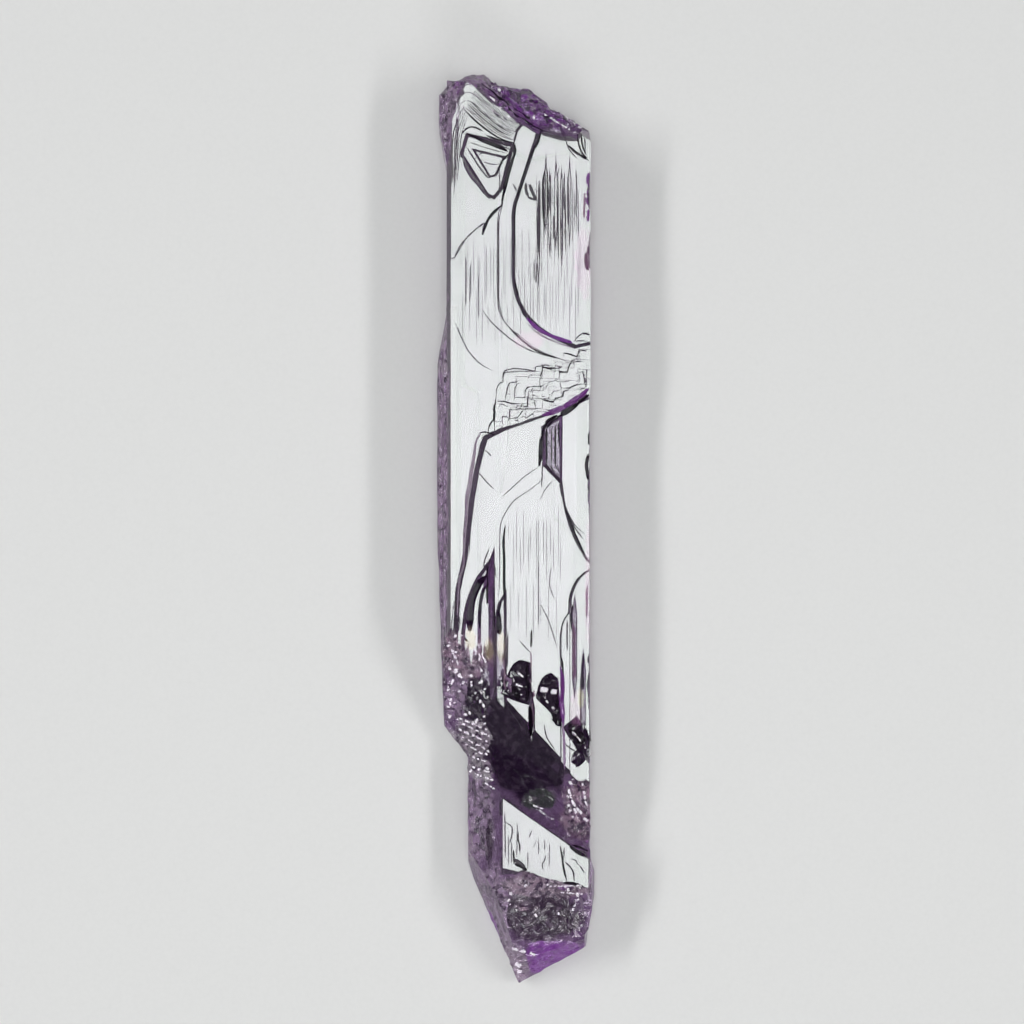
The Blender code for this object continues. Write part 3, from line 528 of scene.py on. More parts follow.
    (0.26, "painted_black_shade", [(7.1, -50.7), (7.4, -52.4), (7.6, -54), (8, -55.8), (8.1, -56.4)]),
    (0.15, "painted_black_shade", [(7.8, -53.2), (8.7, -54), (9.2, -55), (9.3, -56.2)]),
    (0.14, "painted_grey_shade", [(7.7, -51), (7.7, -52.8)]),
    (0.12, "painted_black_shade", [(9.2, -54.6), (9.3, -55.6)]),
    (0.16, "painted_grey_shade", [(10.2, -53.8), (11, -55)]),
    (0.6, "painted_grey_shade", [(-0.3, -52.8), (0.6, -53.4), (1.4, -54.2)]),
    (0.5, "painted_black_shade", [(-0.2, -53.6), (0.8, -53.9), (1.7, -54.6)]),
    (0.8, "painted_black_shade", [(8.4, -50.3), (9.4, -51.2), (11.2, -52.4)]),
    (0.5, "painted_black_shade", [(9, -50.6), (10.4, -51), (11.6, -51.6)]),
    (0.4, "painted_black_shade", [(7.6, -56.6), (9.2, -56.7), (10.8, -57.2)]),
    (0.12, "painted_grey_shade", [(-1.8, -45.2), (-1.7, -52.6)]),
    (0.1, "painted_pale_shade", [(0.2, -47), (0.1, -52.4)]),
    (0.1, "painted_pale_shade", [(5.4, -50.2), (5.3, -54)]),
    (0.12, "painted_grey_shade", [(8.8, -52.8), (9.6, -53), (10, -53.8)]),
    (0.2, "painted_black_shade", [(-0.4, -51.4), (-0.3, -53.6)]),
    (0.12, "painted_pale_shade", [(-1.2, -49), (-1.2, -53.8)]),
    (0.12, "painted_pale_shade", [(-0.7, -50), (-0.7, -53.6)]),
    (0.1, "painted_pale_shade", [(3.6, -49.6), (3.6, -52)]),
    (0.1, "painted_pale_shade", [(4.6, -49.6), (4.6, -51.4)]),
    # Painted rosy light along the straight edge
    (0.36, "rose", [(12.1, 7), (12, 3), (12.1, -3.6)]),
    (0.5, "rose", [(12, -7.4), (12, -12), (11.9, -18.4)]),
    (0.4, "mauve", [(12, -19.6), (11.9, -24), (12, -30)]),
    (0.3, "rose", [(11.4, -9), (11.3, -14)]),
    # Dents along the straight edge
    (0.6, "painted_black_shade", [(11.5, 45), (11.2, 43.2), (11.5, 41.6)]),
    (0.6, "violet", [(11.7, 57.2), (11.5, 56), (11.7, 54.8)]),
    (0.8, "violet", [(11.6, 54.6), (11.4, 53.4), (11.7, 51.8)]),
    (0.4, "violet", [(11.6, 51.4), (11.5, 49.4)]),
    (0.3, "rose", [(11, 54), (10.9, 50)]),
    (0.34, "painted_black_shade", [(11.7, 15.6), (11.7, 13.6)]),
    (0.5, "painted_black_shade", [(11.6, 12.2), (11.3, 10.4), (11.6, 8)]),
]
# Pits painted black as shade: middle, half size and turn
PITS = [
    ((6.5, -30.2), (0.8, 1.8, 1.5), 0.4),
    ((9.8, -32.8), (1.2, 2.4, 1.5), 0.6),
    ((2.45, -30.4), (0.55, 3.6, 1.8), 0),
]
# Lines of the staircase in tones of painted shade, with sharp corners, from its top landings down
STAIR_LINES = [
    (0.16, "painted_grey_shade", [(-2.1, 23.6), (-2.1, 25), (-1.8, 25.5), (-0.4, 25.9), (1.6, 25.7), (3, 25.4),
                     (3.1, 26.1), (4.6, 26.4), (7, 26.2), (8.4, 26.2)]),
    (0.14, "painted_grey_shade", [(-3.2, 20.9), (-3.1, 22.6), (-2.8, 23.3), (-2.1, 23.7), (-2.1, 24.6), (-1.8, 25.2),
                     (0.6, 25.4), (4, 25.4)]),
    (0.24, "painted_black_shade", [(4, 23), (4, 24.8), (4.3, 26.1), (5.4, 25.8), (7, 25.3), (8.2, 25.3),
                   (8.5, 26.3), (9, 27.2), (9.6, 27), (10.6, 27)]),
    (0.26, "painted_grey_shade", [(4.8, 26), (6.2, 25.9), (8.2, 25.8)]),
    (0.16, "painted_black_shade", [(1.4, 21.1), (1.5, 22.4), (1.9, 22.9), (4, 23), (4.8, 23.4)]),
    (0.12, "painted_grey_shade", [(-1.8, 20.8), (-1.6, 21.6), (-1.3, 23), (-1.1, 23.5), (0, 23.7), (0.6, 24)]),
    (0.1, "painted_grey_shade", [(-0.3, 20.8), (-0.2, 22.7), (0.2, 23.4), (0.8, 23.6)]),
    (0.14, "painted_grey_shade", [(-0.2, 21.2), (1.4, 21.2), (2.4, 20.9), (3.4, 20.6)]),
    (0.1, "painted_pale_shade", [(1.9, 24.2), (2.2, 24.8), (4, 24.8)]),
    (0.12, "painted_grey_shade", [(7, 23), (7.2, 23.7), (8.5, 23.8), (8.5, 25)]),
    (0.16, "painted_black_shade", [(7, 23), (8.5, 22.7), (9.4, 23.2), (10.7, 23.4)]),
    (0.16, "painted_grey_shade", [(9, 22.2), (9.8, 22.6), (10.9, 22.6)]),
    (0.2, "painted_black_shade", [(7.4, 27.2), (7.7, 28.3), (8.5, 28.2), (9.8, 27.7), (10.1, 28.8), (10.6, 28.8),
                   (11.4, 28.6)]),
    (0.14, "painted_grey_shade", [(9.3, 30.1), (9.6, 30.7), (10.2, 31.2), (10.7, 31.5), (11.7, 31.2)]),
    (0.2, "painted_black_shade", [(10.6, 31.6), (11.2, 31.5), (11.8, 31.3)]),
    (0.14, "painted_grey_shade", [(9.4, 29.6), (9.8, 30.3), (10.6, 30.3), (11.6, 30.2)]),
    (0.14, "painted_grey_shade", [(9, 28.2), (9.4, 29.4), (9.4, 30.4)]),
    (0.14, "painted_grey_shade", [(10.3, 28.4), (10.5, 29.6), (11.7, 29.8)]),
    (0.18, "painted_grey_shade", [(9.6, 25), (10.7, 25.4), (11, 24), (10.9, 21.6)]),
    (0.16, "painted_grey_shade", [(10.1, 23.6), (10.2, 25.2)]),
    (0.22, "painted_grey_shade", [(11.3, 26.8), (11.3, 24.2), (11.2, 22)]),
    (0.3, "painted_black_shade", [(-3.2, 20.9), (-3.5, 19.5), (-3.5, 17.9), (-3.4, 16)]),
    (0.22, "painted_black_shade", [(-3.4, 18.2), (-4.2, 16.8), (-4.5, 15.7)]),
    (0.16, "painted_grey_shade", [(-3, 20.6), (-1.8, 20.6), (-0.6, 20.2), (0.6, 20.2)]),
    (0.12, "painted_grey_shade", [(-2.8, 19.6), (-2.4, 20.2), (-1.4, 19.8)]),
    (0.18, "painted_black_shade", [(0.5, 18.2), (0.6, 19.4), (1, 20.2), (3, 20.4), (3.2, 19.4), (1.6, 19.3)]),
    (0.14, "painted_grey_shade", [(3.2, 19.5), (5.2, 19.2), (6.4, 19.6)]),
    (0.24, "painted_black_shade", [(3.4, 21.3), (4.6, 20.8), (5.9, 20.5), (6.4, 21.1), (7.5, 21.4), (7.6, 22.2),
                   (8.6, 22.4)]),
    (0.14, "painted_grey_shade", [(2.4, 20.8), (2.8, 21.6), (3.4, 21.4)]),
    (0.18, "painted_black_shade", [(-1.3, 16.3), (-1.2, 17.8), (0.3, 18), (1, 19), (1.3, 20)]),
    (0.14, "painted_grey_shade", [(-1, 17.4), (0.2, 17.6), (1.2, 18.2), (1.8, 18), (2.6, 18.6), (4, 18.2)]),
    (0.14, "painted_grey_shade", [(-2.4, 16.6), (-2.1, 18.2)]),
    (0.12, "painted_grey_shade", [(-3.2, 16.6), (-2.2, 16.6)]),
    (0.14, "painted_grey_shade", [(4.2, 22.6), (4.2, 21.4), (5.4, 21.2)]),
    (0.12, "painted_pale_shade", [(4.6, 22.4), (5.2, 23.6), (6.4, 24), (7.8, 24.6)]),
    (0.12, "painted_pale_shade", [(5.6, 21.4), (6, 22.2), (7.2, 22.4)]),
    (0.1, "painted_pale_shade", [(0, 21.4), (0, 24.6), (3.6, 24.4)]),
    (0.1, "painted_pale_shade", [(-1, 20.8), (-1, 23.4)]),
]
# Rows of small flat-topped steps on rough ground: start, end, and the steps' size, in millimetres
LEDGES = [
    ((-9.2, -30.4), (-4.6, -32.2), (0.75, 0.26)),
    ((-8.8, -31.3), (-4.4, -33.2), (0.8, 0.22)),
    ((-9.3, -32.2), (-4.6, -34.2), (0.75, 0.3)),
    ((-8.9, -33.4), (-5, -35.3), (0.8, 0.24)),
    ((-8.2, -34.6), (-5.2, -36.2), (0.6, 0.22)),
    ((-7, -36.6), (-4.6, -37.4), (0.62, 0.3)),
    ((-7, -38.2), (-4, -39), (0.7, 0.26)),
    ((-6.4, -39.4), (-3.6, -40.2), (0.6, 0.3)),
    ((-5.2, -40.6), (-3.4, -41.6), (0.5, 0.24)),
    ((-10.4, -18.8), (-9.2, -22), (1.2, 0.34)),
    ((-10, -22.2), (-8.8, -23.6), (0.9, 0.7)),
    ((-9.2, -16.4), (-5.6, -20.4), (1.1, 0.24)),
    ((-6.6, -17), (-4.8, -21.6), (1.3, 0.26)),
    ((9, -43.6), (11.4, -46.8), (1, 0.4)),
    ((8.4, -41.4), (9.6, -45.4), (1.1, 0.34)),
    ((10.6, -40.4), (11.4, -44.6), (1, 0.3)),
    ((-2.6, -68), (0.8, -70.4), (1.8, 0.8)),
    ((-0.6, -67.4), (3, -68.4), (1.4, 0.4)),
    ((-1.4, -71.4), (1, -71.2), (1.3, 0.7)),
    ((0.2, -22.8), (1.4, -23.8), (0.9, 0.26)),
    ((0, -24.8), (1.2, -25.2), (0.9, 0.3)),
    ((4.2, -25.6), (6.4, -26), (1.7, 0.7)),
    ((4.8, -27.4), (6.2, -28.8), (0.8, 0.26)),
    ((9.2, -32.4), (10.6, -34.2), (0.9, 0.22)),
    ((2.4, -44.2), (4.6, -45), (1.2, 0.2)),
    ((5.4, -57.2), (10.6, -57), (0.6, 0.22)),
    ((7, -58.2), (10.8, -58.4), (0.5, 0.2)),
    ((4.6, 66.8), (9.6, 63.8), (0.7, 0.24)),
    ((6.4, 67.6), (10.4, 64.8), (0.8, 0.18)),
    ((-9.6, 69.2), (-9.2, 65.4), (0.6, 0.2)),
]
# Scattered glints: middle, half size and count
GLINTS = [
    ((-8.2, -21), (2.6, 4), 20),
    ((-8, -27.4), (3, 3.2), 22),
    ((-6.8, -35.2), (2.4, 4.4), 12),
    ((10, -43), (1.6, 3.6), 8),
    ((4.4, -59.4), (5.6, 2.6), 14),
    ((2.4, 68.6), (6.4, 2.6), 10),
]


class Zone(NamedTuple):
    """A box off the bright faces, with its tone, its facets' size, relief and stretch, in millimetres."""

    tone: str
    centre: tuple
    size: tuple
    cell: float
    relief: float
    stretch: tuple = (1, 1, 1)


# Zones in dark violet and dusky tones are painted shade, those in lilac, rose and whitish tones painted
# highlights
ZONES = [
    Zone("royal", (3.4, 69, 6.5), (10, 5.6, 7), 1.1, 0.34, (0.7, 1.3, 1)),
    Zone("violet", (-7.6, 71.4, 6), (4.6, 3.4, 7), 1, 0.2),
    Zone("mauve", (-10.8, 67.2, 6.5), (2.6, 7.6, 6.5), 1.2, 0.14, (1.4, 0.6, 1)),
    Zone("rose", (-8.4, -20.4, 8.5), (4.6, 4.6, 5), 0.75, 0.34, (1.2, 0.8, 1)),
    Zone("mauve", (-9.4, -26.4, 7.5), (2.8, 4.4, 6), 0.75, 0.26),
    Zone("painted_dark_shade", (-6.4, -27.2, 7.5), (3, 4.4, 6), 0.75, 0.22),
    Zone("ash", (-7, -34, 7), (4.6, 3.6, 6.5), 0.8, 0.3, (0.5, 2, 1)),
    Zone("ash", (-5.6, -38.6, 7), (2.6, 2.4, 6.5), 0.8, 0.26),
    Zone("mauve", (-6.4, -46, 6), (3.2, 8, 6), 1.6, 0.14, (2, 0.6, 1)),
    Zone("moss", (3.6, -43.2, 6), (3.2, 2, 4), 1, 0.2, (0.6, 1.8, 1)),
    Zone("painted_dusky_shade", (-4.4, -50, 7), (0.7, 5, 6), 2, 0.05),
    Zone("rose", (10, -44.6, 8), (2.6, 5.4, 6), 1, 0.36, (1.8, 0.5, 1)),
    Zone("earth", (4.8, -57, 9), (8.4, 2.4, 3), 0.9, 0.12, (0.6, 2, 1)),
    Zone("painted_dusky_shade", (4, -62, 7.5), (7, 4.2, 6), 0.9, 0.12),
    Zone("painted_lilac_highlight", (-7.6, -50.4, 5), (1.7, 3.8, 6), 1.8, 0.06),
    Zone("vivid", (-3.9, -64.6, 3), (1.7, 6.4, 4), 1.6, 0.12, (1.6, 0.5, 1)),
    Zone("painted_lilac_highlight", (-12, 26, 8), (1.2, 3.2, 6), 2, 0.05),
    Zone("painted_dark_shade", (0.3, -24.4, 9.3), (2.8, 4.2, 2.6), 0.9, 0.4),
    Zone("painted_dark_shade", (5.2, -27, 9.3), (2.8, 4.8, 2.6), 0.9, 0.4),
    Zone("painted_dark_shade", (10.4, -34, 9), (2.4, 3.4, 2.4), 0.9, 0.34),
    Zone("painted_dark_shade", (9.8, -38.2, 8), (2, 2, 4), 1.2, 0.16),
    Zone("rose", (1.4, -61, 9), (1.8, 0.7, 3), 1, 0.08),
    Zone("violet", (7.6, -57.4, 9), (2.6, 0.9, 3), 0.8, 0.3),
    Zone("vivid", (6.6, -69, 4.5), (7.5, 3.6, 5), 1.2, 0.14),
    Zone("painted_lilac_highlight", (0.2, -70, 4.5), (2.6, 3.8, 5), 1.2, 0.4),
    Zone("mauve", (-3.2, -60.4, 5), (3, 9, 6), 1.4, 0.16, (1.6, 0.5, 1)),
    Zone("mauve", (-12, 14, 6), (1.5, 48, 7), 3, 0.1, (2, 0.25, 1)),
    Zone("painted_dark_shade", (1.6, -36.4, 5), (9, 7.4, 8), 1.6, 0.03),
    Zone("painted_dark_shade", (-1.6, -30.6, 7), (4, 6, 8), 2, 0.03),
]
# How much grain and painted glint the calmer zones keep
CALM = {"painted_dark_shade": 0.12, "moss": 0.3, "painted_dusky_shade": 0.45, "vivid": 0.3, "painted_lilac_highlight": 0.5}
# A level face has at least this much of its normal upright, and a growth face lies above this height in mm
LEVEL = 0.995
BRIGHT_LEVEL = 9.9
# The back's faces have less of their normal upright than this
BACK_LEVEL = -0.9
# Floors of the flutes on the left: their lowest height, then the limits of X and of Y
FLUTE_LEVEL = 8.6
FLUTE_BOX = (-1.8, -18.6, -6.0)
# In mm: what a line's cutter adds to its width, and the height below which the skin stays as it is
KERF = 0.07
FOOT_MARGIN = 0.4
# Where a zone ends and how softly, in half sizes, and how frosted the skin is outside the zones
ZONE_END = 1.12
ZONE_FADE = 0.25
BARE_FROST = 0.45
# The noises' seed, and how fine those of facets, of the grain that places painted glints, and of zone edges
# are, per metre
NOISE_SEED = 1
FACET_NOISE = 900.0
GRAIN_NOISE = 1100.0
EDGE_NOISE = 420.0
# Small steps: height over the ground and depth in mm, and how high a pit's bowl sits, in half heights
STEP_RISE = 0.16
STEP_DEPTH = 1.5
PIT_LIFT = 0.35
# Rays to the front face start here, and a crystal with fewer faces than this has been lost in a cut
ABOVE = 100 * MM
LEAST_FACES = 500


def zone_at(point):
    """The zone that a point lies deepest in, and how etched it is there, from 0 to 1."""
    x, y, z = (c / MM for c in point)
    best, found = 9.0, ZONES[0]
    for zone in ZONES:
        (cx, cy, cz), (sx, sy, sz) = zone.centre, zone.size
        reach = ((x - cx) / sx) ** 2 + ((y - cy) / sy) ** 2 + ((z - cz) / sz) ** 2
        if reach < best:
            best, found = reach, zone
    if best > 4.0:
        return found, 0.0
    ragged = math.sqrt(best) + 0.3 * noise.noise(Vector(point) * EDGE_NOISE)
    return found, max(0.0, min(1.0, (ZONE_END - ragged) / ZONE_FADE))


def mirrors(centre, alpha):
    """Whether a level face here is a growth face, the floor of a flute or the top of a step."""
    x, y, z = (c / MM for c in centre)
    in_flute = z > FLUTE_LEVEL and x < FLUTE_BOX[0] and FLUTE_BOX[1] < y < FLUTE_BOX[2]
    return z > BRIGHT_LEVEL or in_flute or alpha < 0.5


def is_bright(face, layer):
    """Growth faces that mirror the sky, level tops of steps, and the flat back stay as they grew."""
    if abs(face.normal.z) < LEVEL:
        return False
    centre = face.calc_center_median()
    return centre.z / MM < FOOT_MARGIN or mirrors(centre, face[layer][3])


def reaches(face, low, high):
    """Whether a face reaches into a box."""
    places = [v.co for v in face.verts]
    for k in (1, 0, 2):
        if all(p[k] >= high[k] for p in places) or all(p[k] <= low[k] for p in places):
            return False
    return True


def zone_faces(bm, zone):
    """Faces off the bright ones that reach into a zone's box."""
    layer = bm.faces.layers.float_color["tone"]
    low = [(c - s) * MM for c, s in zip(zone.centre, zone.size)]
    high = [(c + s) * MM for c, s in zip(zone.centre, zone.size)]
    return [face for face in bm.faces if reaches(face, low, high) and not is_bright(face, layer)]


def merge_points(thing, reach):
    only(thing)
    bpy.ops.object.mode_set(mode="EDIT")
    bpy.ops.mesh.select_all(action="SELECT")
    bpy.ops.mesh.remove_doubles(threshold=reach)
    bpy.ops.object.mode_set(mode="OBJECT")


def merged_copy(name):
    """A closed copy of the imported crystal's mesh, whose loose triangles share their points."""
    made = bpy.data.objects.new(name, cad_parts[NODE].data.copy())
    bpy.context.scene.collection.objects.link(made)
    made.data.materials.clear()
    merge_points(made, 1e-6)
    return made


def smooth_route(points, gap=0.45):
    """Points every gap millimetres on a smooth curve through the given ones."""
    ends = [points[0], *points, points[-1]]
    route = []
    for before, start, end, after in zip(ends, ends[1:], ends[2:], ends[3:]):
        steps = max(1, round(math.dist(start, end) / gap))
        for i in range(steps):
            t = i / steps
            route.append([
                0.5 * (2.0 * b + (c - a) * t + (2.0 * a - 5.0 * b + 4.0 * c - d) * t * t
                       + (3.0 * b - a - 3.0 * c + d) * t ** 3)
                for a, b, c, d in zip(before, start, end, after)
            ])
    return [*route, list(points[-1])]


def between(first, last, share):
    return [[a + (b - a) * share for a, b in zip(p, q)] for p, q in zip(first, last)]


def ground(surface, x, y):
    """Where the crystal's front is hit from straight above."""
    return surface.ray_cast(Vector((x * MM, y * MM, ABOVE)), Vector((0.0, 0.0, -1.0)))[0]


def groove_cutter(name, route, width, tone, surface):
    """A tapered bar with a diamond section that lies half sunk in the front face along a route."""
    bpy.ops.curve.primitive_nurbs_path_add()
    bar = bpy.context.object
    bar.name = name
    curve = bar.data
    curve.splines.clear()
    spline = curve.splines.new("POLY")
    spline.points.add(len(route) - 1)
    last = len(route) - 1
    for i, (x, y) in enumerate(route):
        hit = ground(surface, x, y)
        height = hit.z if hit else CAD_BOX[1][2]
        spline.points[i].co = (x * MM, y * MM, height, 1.0)
        spline.points[i].radius = 0.35 + 0.65 * min(1.0, 5.0 * i / last, 5.0 * (last - i) / last)
    curve.dimensions = "3D"
    curve.twist_mode = "Z_UP"
    curve.bevel_depth = width * MM / 2
    curve.bevel_resolution = 0
    curve.use_fill_caps = True
    only(bar)
    bpy.ops.object.convert(target="MESH")
    bar = bpy.context.object
    merge_points(bar, 1e-7)
    bar.data.materials.clear()
    paint(bar.data, TONES[tone])
    return bar


def paint(mesh, tone, kept=False):
    """Gives all faces a tone; the level tops of kept pieces stay as they are cut, which alpha 0 says."""
    layer = mesh.attributes.new("tone", "FLOAT_COLOR", "FACE")
    alpha = 0.0 if kept else 1.0
    layer.data.foreach_set("color", [*tone, alpha] * len(mesh.polygons))


def cut(crystal, cutter, operation="DIFFERENCE"):
    only(crystal)
    modifier = crystal.modifiers.new("Cut", "BOOLEAN")
    modifier.operation = operation
    modifier.solver = "MANIFOLD"
    modifier.object = cutter
    bpy.ops.object.modifier_apply(modifier=modifier.name)
    bpy.data.objects.remove(cutter)


def engrave(crystal):
    """Cuts every engraved line into the front face."""
    bm = bmesh.new()
    bm.from_mesh(crystal.data)
    surface = BVHTree.FromBMesh(bm)
    bm.free()
    for place, size, turn in PITS:
        cut(crystal, add_pit(place, size, turn, surface))
    lines = [(width, tone, smooth_route(route)) for width, tone, route in LINES]
    for i, (width, tone, route) in enumerate([*lines, *STAIR_LINES]):
        cut(crystal, groove_cutter(f"line_{i}", route, width + KERF, tone, surface))
        if len(crystal.data.polygons) < LEAST_FACES:
            raise ValueError(f"line {i} broke the crystal")
    fans = [(width, tone, between(FAN_HIGH, FAN_LOW, share)) for share, width, tone in FAN_LINES]
    bends = [(width, tone, between(BEND_OUT, BEND_IN, share)) for share, width, tone in BEND_LINES]
    for name, batch in (("fan", fans), ("bend", bends), ("stria", striae()), ("hair", hairs())):
        cut(crystal, joined([groove_cutter(f"{name}_{i}", smooth_route(route), width, tone, surface)
                             for i, (width, tone, route) in enumerate(batch)]))
    steps = [add_step(*place, surface) for place in step_places()]
    cut(crystal, joined([step for step in steps if step]), "UNION")


def joined(pieces):
    """One object made of several that don't meet."""
    bpy.ops.object.select_all(action="DESELECT")
    for piece in pieces:
        piece.select_set(True)
    bpy.context.view_layer.objects.active = pieces[0]
    bpy.ops.object.join()
    return bpy.context.object


def striae():
    """Fine growth lines of uneven length between the long line and the straight edge."""
    lines = []
    for i in range(24):
        x = 3.3 + 0.29 * i
        top = 57.6 - 3.2 * abs(math.sin(5.0 * i))
        foot = 47.4 + 4.4 * math.sin(3.0 * i)
        tone = "painted_grey_shade" if i % 3 else "painted_pale_shade"
        lines.append((0.09 + 0.05 * abs(math.sin(2.0 * i)), tone, [(x, top), (x, foot)]))
    return lines


def hairs():
    """Faint growth lines on the broad faces, upper and lower, always apart from each other."""
    lines = []
    for left, gap, count, height, sway in ((-8.8, 0.34, 57, 39.0, 5.0), (-1.2, 0.40, 22, -6.0, 7.0)):
        for i in range(count):
            x = left + gap * i + 0.08 * math.sin(11.0 * i)
            middle = height + sway * math.sin(23.0 * i + 1.0)
            half = 1.5 + 3.5 * abs(math.sin(7.0 * i))
            width = 0.08 + 0.03 * abs(math.sin(3.0 * i))
            lines.append((width, "pale", [(x, middle + half), (x, middle - half)]))
    return lines


def step_places():
    """Place, turn, length and width of every flat-topped step, in millimetres."""
    places = []
    for start, end, (span, width) in LEDGES:
        run = math.dist(start, end)
        turn = math.atan2(end[1] - start[1], end[0] - start[0])
        count = max(2, round(run / span))
        for i in range(count):
            share = (i + 0.5 + 0.25 * math.sin(4.0 * i + start[0])) / count
            x, y = (a + (b - a) * share for a, b in zip(start, end))
            long = (0.7 + 0.16 * math.sin(5.0 * i)) * span
            places.append((x, y, turn + 0.4 * math.sin(3.0 * i), long, width))
    for (x, y), (half_x, half_y), count in GLINTS:
        for i in range(count):
            spot = (x + half_x * math.sin(12.9 * i + x), y + half_y * math.sin(78.2 * i + y))
            size = 0.16 + 0.22 * abs(math.sin(5.3 * i))
            places.append((*spot, 2.4 * math.sin(9.1 * i), size * 1.5, size))
    return places


def add_step(x, y, turn, span, width, surface):
    """A small block with a level top that breaks a slope into a step, painted lilac as a highlight."""
    hit = ground(surface, x, y)
    if not hit:
        return None
    middle = hit.z + (STEP_RISE - STEP_DEPTH / 2) * MM
    bpy.ops.mesh.primitive_cube_add(size=1.0, location=(x * MM, y * MM, middle), rotation=(0.0, 0.0, turn),
                                    scale=(span * MM, width * MM, STEP_DEPTH * MM))
    block = bpy.context.object
    block.data.materials.clear()
    paint(block.data, TONES["painted_lilac_highlight"], kept=True)
    return block


def add_pit(place, size, turn, surface):
    """A coarse bowl, half sunk where it stands, that leaves slanting facets painted black as shade where it
    is cut.
    """
    x, y = place
    centre = (x * MM, y * MM, ground(surface, x, y).z + PIT_LIFT * size[2] * MM)
    bpy.ops.mesh.primitive_ico_sphere_add(subdivisions=1, radius=1.0, location=centre,
                                          rotation=(0.3, 0.2, turn), scale=[c * MM for c in size])
    bowl = bpy.context.object
    bowl.data.materials.clear()
    paint(bowl.data, TONES["painted_black_shade"])
    return bowl


def slice_zone(bm, zone):
    """Slices the faces of a zone into cells of its facet size, along planes that lean a little."""
    centre, size, cell = zone.centre, zone.size, zone.cell
    faces = zone_faces(bm, zone)
    geometry = [*faces, *{e for f in faces for e in f.edges}, *{v for f in faces for v in f.verts}]
    for axis in range(3):
        count = math.floor(2.0 * size[axis] / cell)
        for i in range(count + 1):
            place = Vector([c * MM for c in centre])
            place[axis] = (centre[axis] - size[axis] + (i + 0.3 * math.sin(7.0 * i)) * cell) * MM
            lean = [0.35 * math.sin(3.0 * i + k) for k in range(3)]
            lean[axis] = 1.0
            cut_up = bmesh.ops.bisect_plane(bm, geom=geometry, plane_co=place, plane_no=lean, dist=1e-7)
            geometry = cut_up["geom"]


def etch(crystal):
    """Breaks the skin of the zones into small uneven facets, the same ones in each run."""
    noise.seed_set(NOISE_SEED)
    mesh = crystal.data
    bm = bmesh.new()
    bm.from_mesh(mesh)
    for zone in ZONES:
        slice_zone(bm, zone)
    layer = bm.faces.layers.float_color["tone"]
    wide = [f for f in bm.faces if len(f.verts) > 3 and not is_bright(f, layer)]
    bmesh.ops.triangulate(bm, faces=[f for f in wide if zone_at(f.calc_center_median())[1] > 0.0])
    bm.normal_update()
    shifts = []
    for vert in bm.verts:
        if vert.co.z / MM < FOOT_MARGIN or any(is_bright(f, layer) for f in vert.link_faces):
            continue
        zone, share = zone_at(vert.co)
        if share <= 0.0:
            continue
        spot = Vector([c * s for c, s in zip(vert.co, zone.stretch)]) * FACET_NOISE
        rise = noise.noise(spot) + 0.6 * noise.noise(spot * 2.3)
        sway = 0.8 * noise.noise_vector(spot)
        shifts.append((vert, (vert.normal * rise + sway) * zone.relief * MM * share))
    for vert, shift in shifts:
        vert.co += shift
    bm.to_mesh(mesh)
    bm.free()


def tone_faces(crystal):
    """Gives each face its tone, with painted shade on the front's risers and painted lilac glints on random
    facets, and how frosted it is.
    """
    mesh = crystal.data
    frosted = mesh.attributes.new("etched", "FLOAT", "FACE")
    tones = mesh.attributes["tone"].data
    clear = Vector(TONES["clear"])
    side, painted_riser_shade = Vector(TONES["side"]), Vector(TONES["painted_riser_shade"])
    painted_glint = Vector(TONES["painted_lilac_highlight"])
    for face, tone, frost in zip(mesh.polygons, tones, frosted.data):
        bright = face.normal.z > LEVEL and mirrors(face.center, tone.color[3])
        toned = (Vector(tone.color[:3]) - clear).length > CLEAR_DRIFT
        if bright or toned or face.normal.z < BACK_LEVEL:
            continue
        zone, share = zone_at(face.center)
        # Painted glint: a random share of the facets is lightened towards lilac
        grain = 0.5 + 0.9 * noise.noise(face.center * GRAIN_NOISE)
        calm = CALM.get(zone.tone, 1.0)
        zone_colour_with_glint = Vector(TONES[zone.tone]).lerp(painted_glint, calm * max(0.0, min(1.0, grain)) ** 3)
        # Risers on the front get painted shade, other bare faces the side's own tone
        bare = painted_riser_shade if face.center.z / MM > BRIGHT_LEVEL else side
        tone.color = (*bare.lerp(zone_colour_with_glint, share), 1.0)
        frost.value = BARE_FROST + (calm - BARE_FROST) * share


class KUNZITE_OT_grow_crystal(bpy.types.Operator):
    """Makes the crystal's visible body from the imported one, with its engraved lines and etched skin"""

    bl_idname = "kunzite.grow_crystal"
    bl_label = "Grow Crystal"

    def execute(self, context):
        settings = context.scene.kunzite_crystal_settings
        crystal = merged_copy("crystal")
        paint(crystal.data, TONES["clear"])
        engrave(crystal)
        etch(crystal)
        tone_faces(crystal)
        only(crystal)
        bpy.ops.object.shade_flat()
        crystal.data.materials.clear()
        crystal.data.materials.append(kunzite_material(settings))
        crystal.data.polygons.foreach_set("material_index", [0] * len(crystal.data.polygons))
        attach(crystal, BODY)
        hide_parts(NODE)
        return {"FINISHED"}


def area_light(name, place, size, power):
    """A lamp that faces the middle of the floor."""
    bpy.ops.object.light_add(type="AREA", location=place)
    lamp = bpy.context.object
    lamp.name = lamp.data.name = name
    lamp.data.shape = "RECTANGLE"
    lamp.data.size, lamp.data.size_y = size
    lamp.data.energy = power
    lamp.rotation_euler = (-Vector(place)).to_track_quat("-Z", "Y").to_euler()
    return lamp


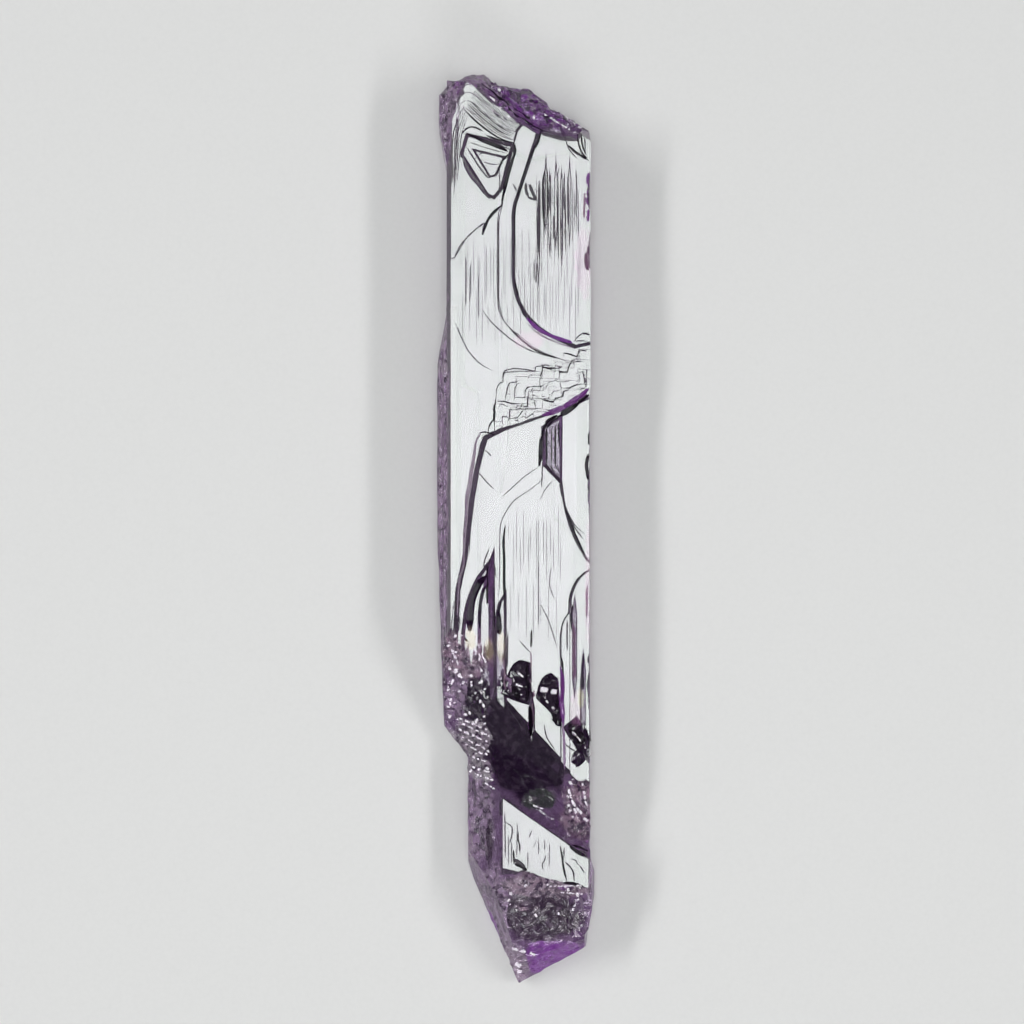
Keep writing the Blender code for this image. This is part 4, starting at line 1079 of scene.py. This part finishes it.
# Strip lights that graze the crystal: name, place and size in metres, and watts
STRIPS = [
    ("strip_left", (-0.85, 0.15, 0.75), (0.9, 0.10), 4.9),
    ("strip_right", (0.85, -0.10, 0.75), (0.9, 0.10), 3.9),
    ("strip_foot", (0.1, -0.95, 0.7), (0.7, 0.10), 2.5),
]
SOFTBOX_TINT = (0.93, 1.0, 0.96)
ROOM_TINT = (0.97, 0.98, 1.0, 1.0)
PICTURE_CENTRE = (-0.64 * MM, 2.88 * MM)
SENSOR = 36.0


class KUNZITE_OT_set_stage(bpy.types.Operator):
    """Adds the pale floor, the soft studio light and the camera above the crystal"""

    bl_idname = "kunzite.set_stage"
    bl_label = "Set Stage"

    def execute(self, context):
        settings = context.scene.kunzite_studio_settings
        scene = context.scene
        low, high = (Vector(corner) for corner in CAD_BOX)
        bpy.ops.object.select_all(action="DESELECT")
        bpy.ops.mesh.primitive_plane_add(size=settings.floor_size, location=(0.0, 0.0, low.z - 0.03 * MM))
        floor = context.object
        floor.name = "studio_floor"
        bpy.ops.object.transform_apply(location=True, rotation=True, scale=True)
        floor.data.materials.append(floor_material(settings))

        softbox = area_light("softbox", (0.0, 0.0, settings.softbox_height),
                             (settings.softbox_width, settings.softbox_length), settings.softbox_power)
        softbox.rotation_euler = ORIGIN
        softbox.data.spread = settings.softbox_spread
        softbox.data.color = SOFTBOX_TINT
        for name, place, size, power in STRIPS:
            area_light(name, place, size, power)

        world = bpy.data.worlds.new("room")
        world.use_nodes = True
        background = world.node_tree.nodes["Background"]
        background.inputs["Color"].default_value = ROOM_TINT
        background.inputs["Strength"].default_value = settings.world_strength
        scene.world = world
        scene.view_settings.view_transform = "Standard"

        bpy.ops.object.camera_add(location=(*PICTURE_CENTRE, high.z + settings.camera_height))
        camera = context.object
        camera.name = "camera"
        camera.data.sensor_width = SENSOR
        camera.data.lens = SENSOR * settings.camera_height / settings.view_width
        camera.rotation_euler = ORIGIN
        scene.camera = camera
        return {"FINISHED"}


class KUNZITE_PT_panel(bpy.types.Panel):
    bl_label = "Kunzite"
    bl_idname = "KUNZITE_PT_panel"
    bl_space_type = "VIEW_3D"
    bl_region_type = "UI"
    bl_category = "Kunzite"

    def draw(self, context):
        for settings in (context.scene.kunzite_crystal_settings, context.scene.kunzite_studio_settings):
            column = self.layout.column()
            for key in settings.__annotations__:
                column.prop(settings, key)
        for operator in OPERATORS:
            self.layout.operator(operator.bl_idname)


OPERATORS = (KUNZITE_OT_grow_crystal, KUNZITE_OT_set_stage)
CLASSES = (KunziteCrystalSettings, KunziteStudioSettings, *OPERATORS, KUNZITE_PT_panel)


def register():
    for item in CLASSES:
        bpy.utils.register_class(item)
    bpy.types.Scene.kunzite_crystal_settings = PointerProperty(type=KunziteCrystalSettings)
    bpy.types.Scene.kunzite_studio_settings = PointerProperty(type=KunziteStudioSettings)


def unregister():
    del bpy.types.Scene.kunzite_studio_settings
    del bpy.types.Scene.kunzite_crystal_settings
    for item in reversed(CLASSES):
        bpy.utils.unregister_class(item)


def main():
    register()
    bpy.ops.kunzite.grow_crystal()
    bpy.ops.kunzite.set_stage()


if __name__ == "__main__":
    main()
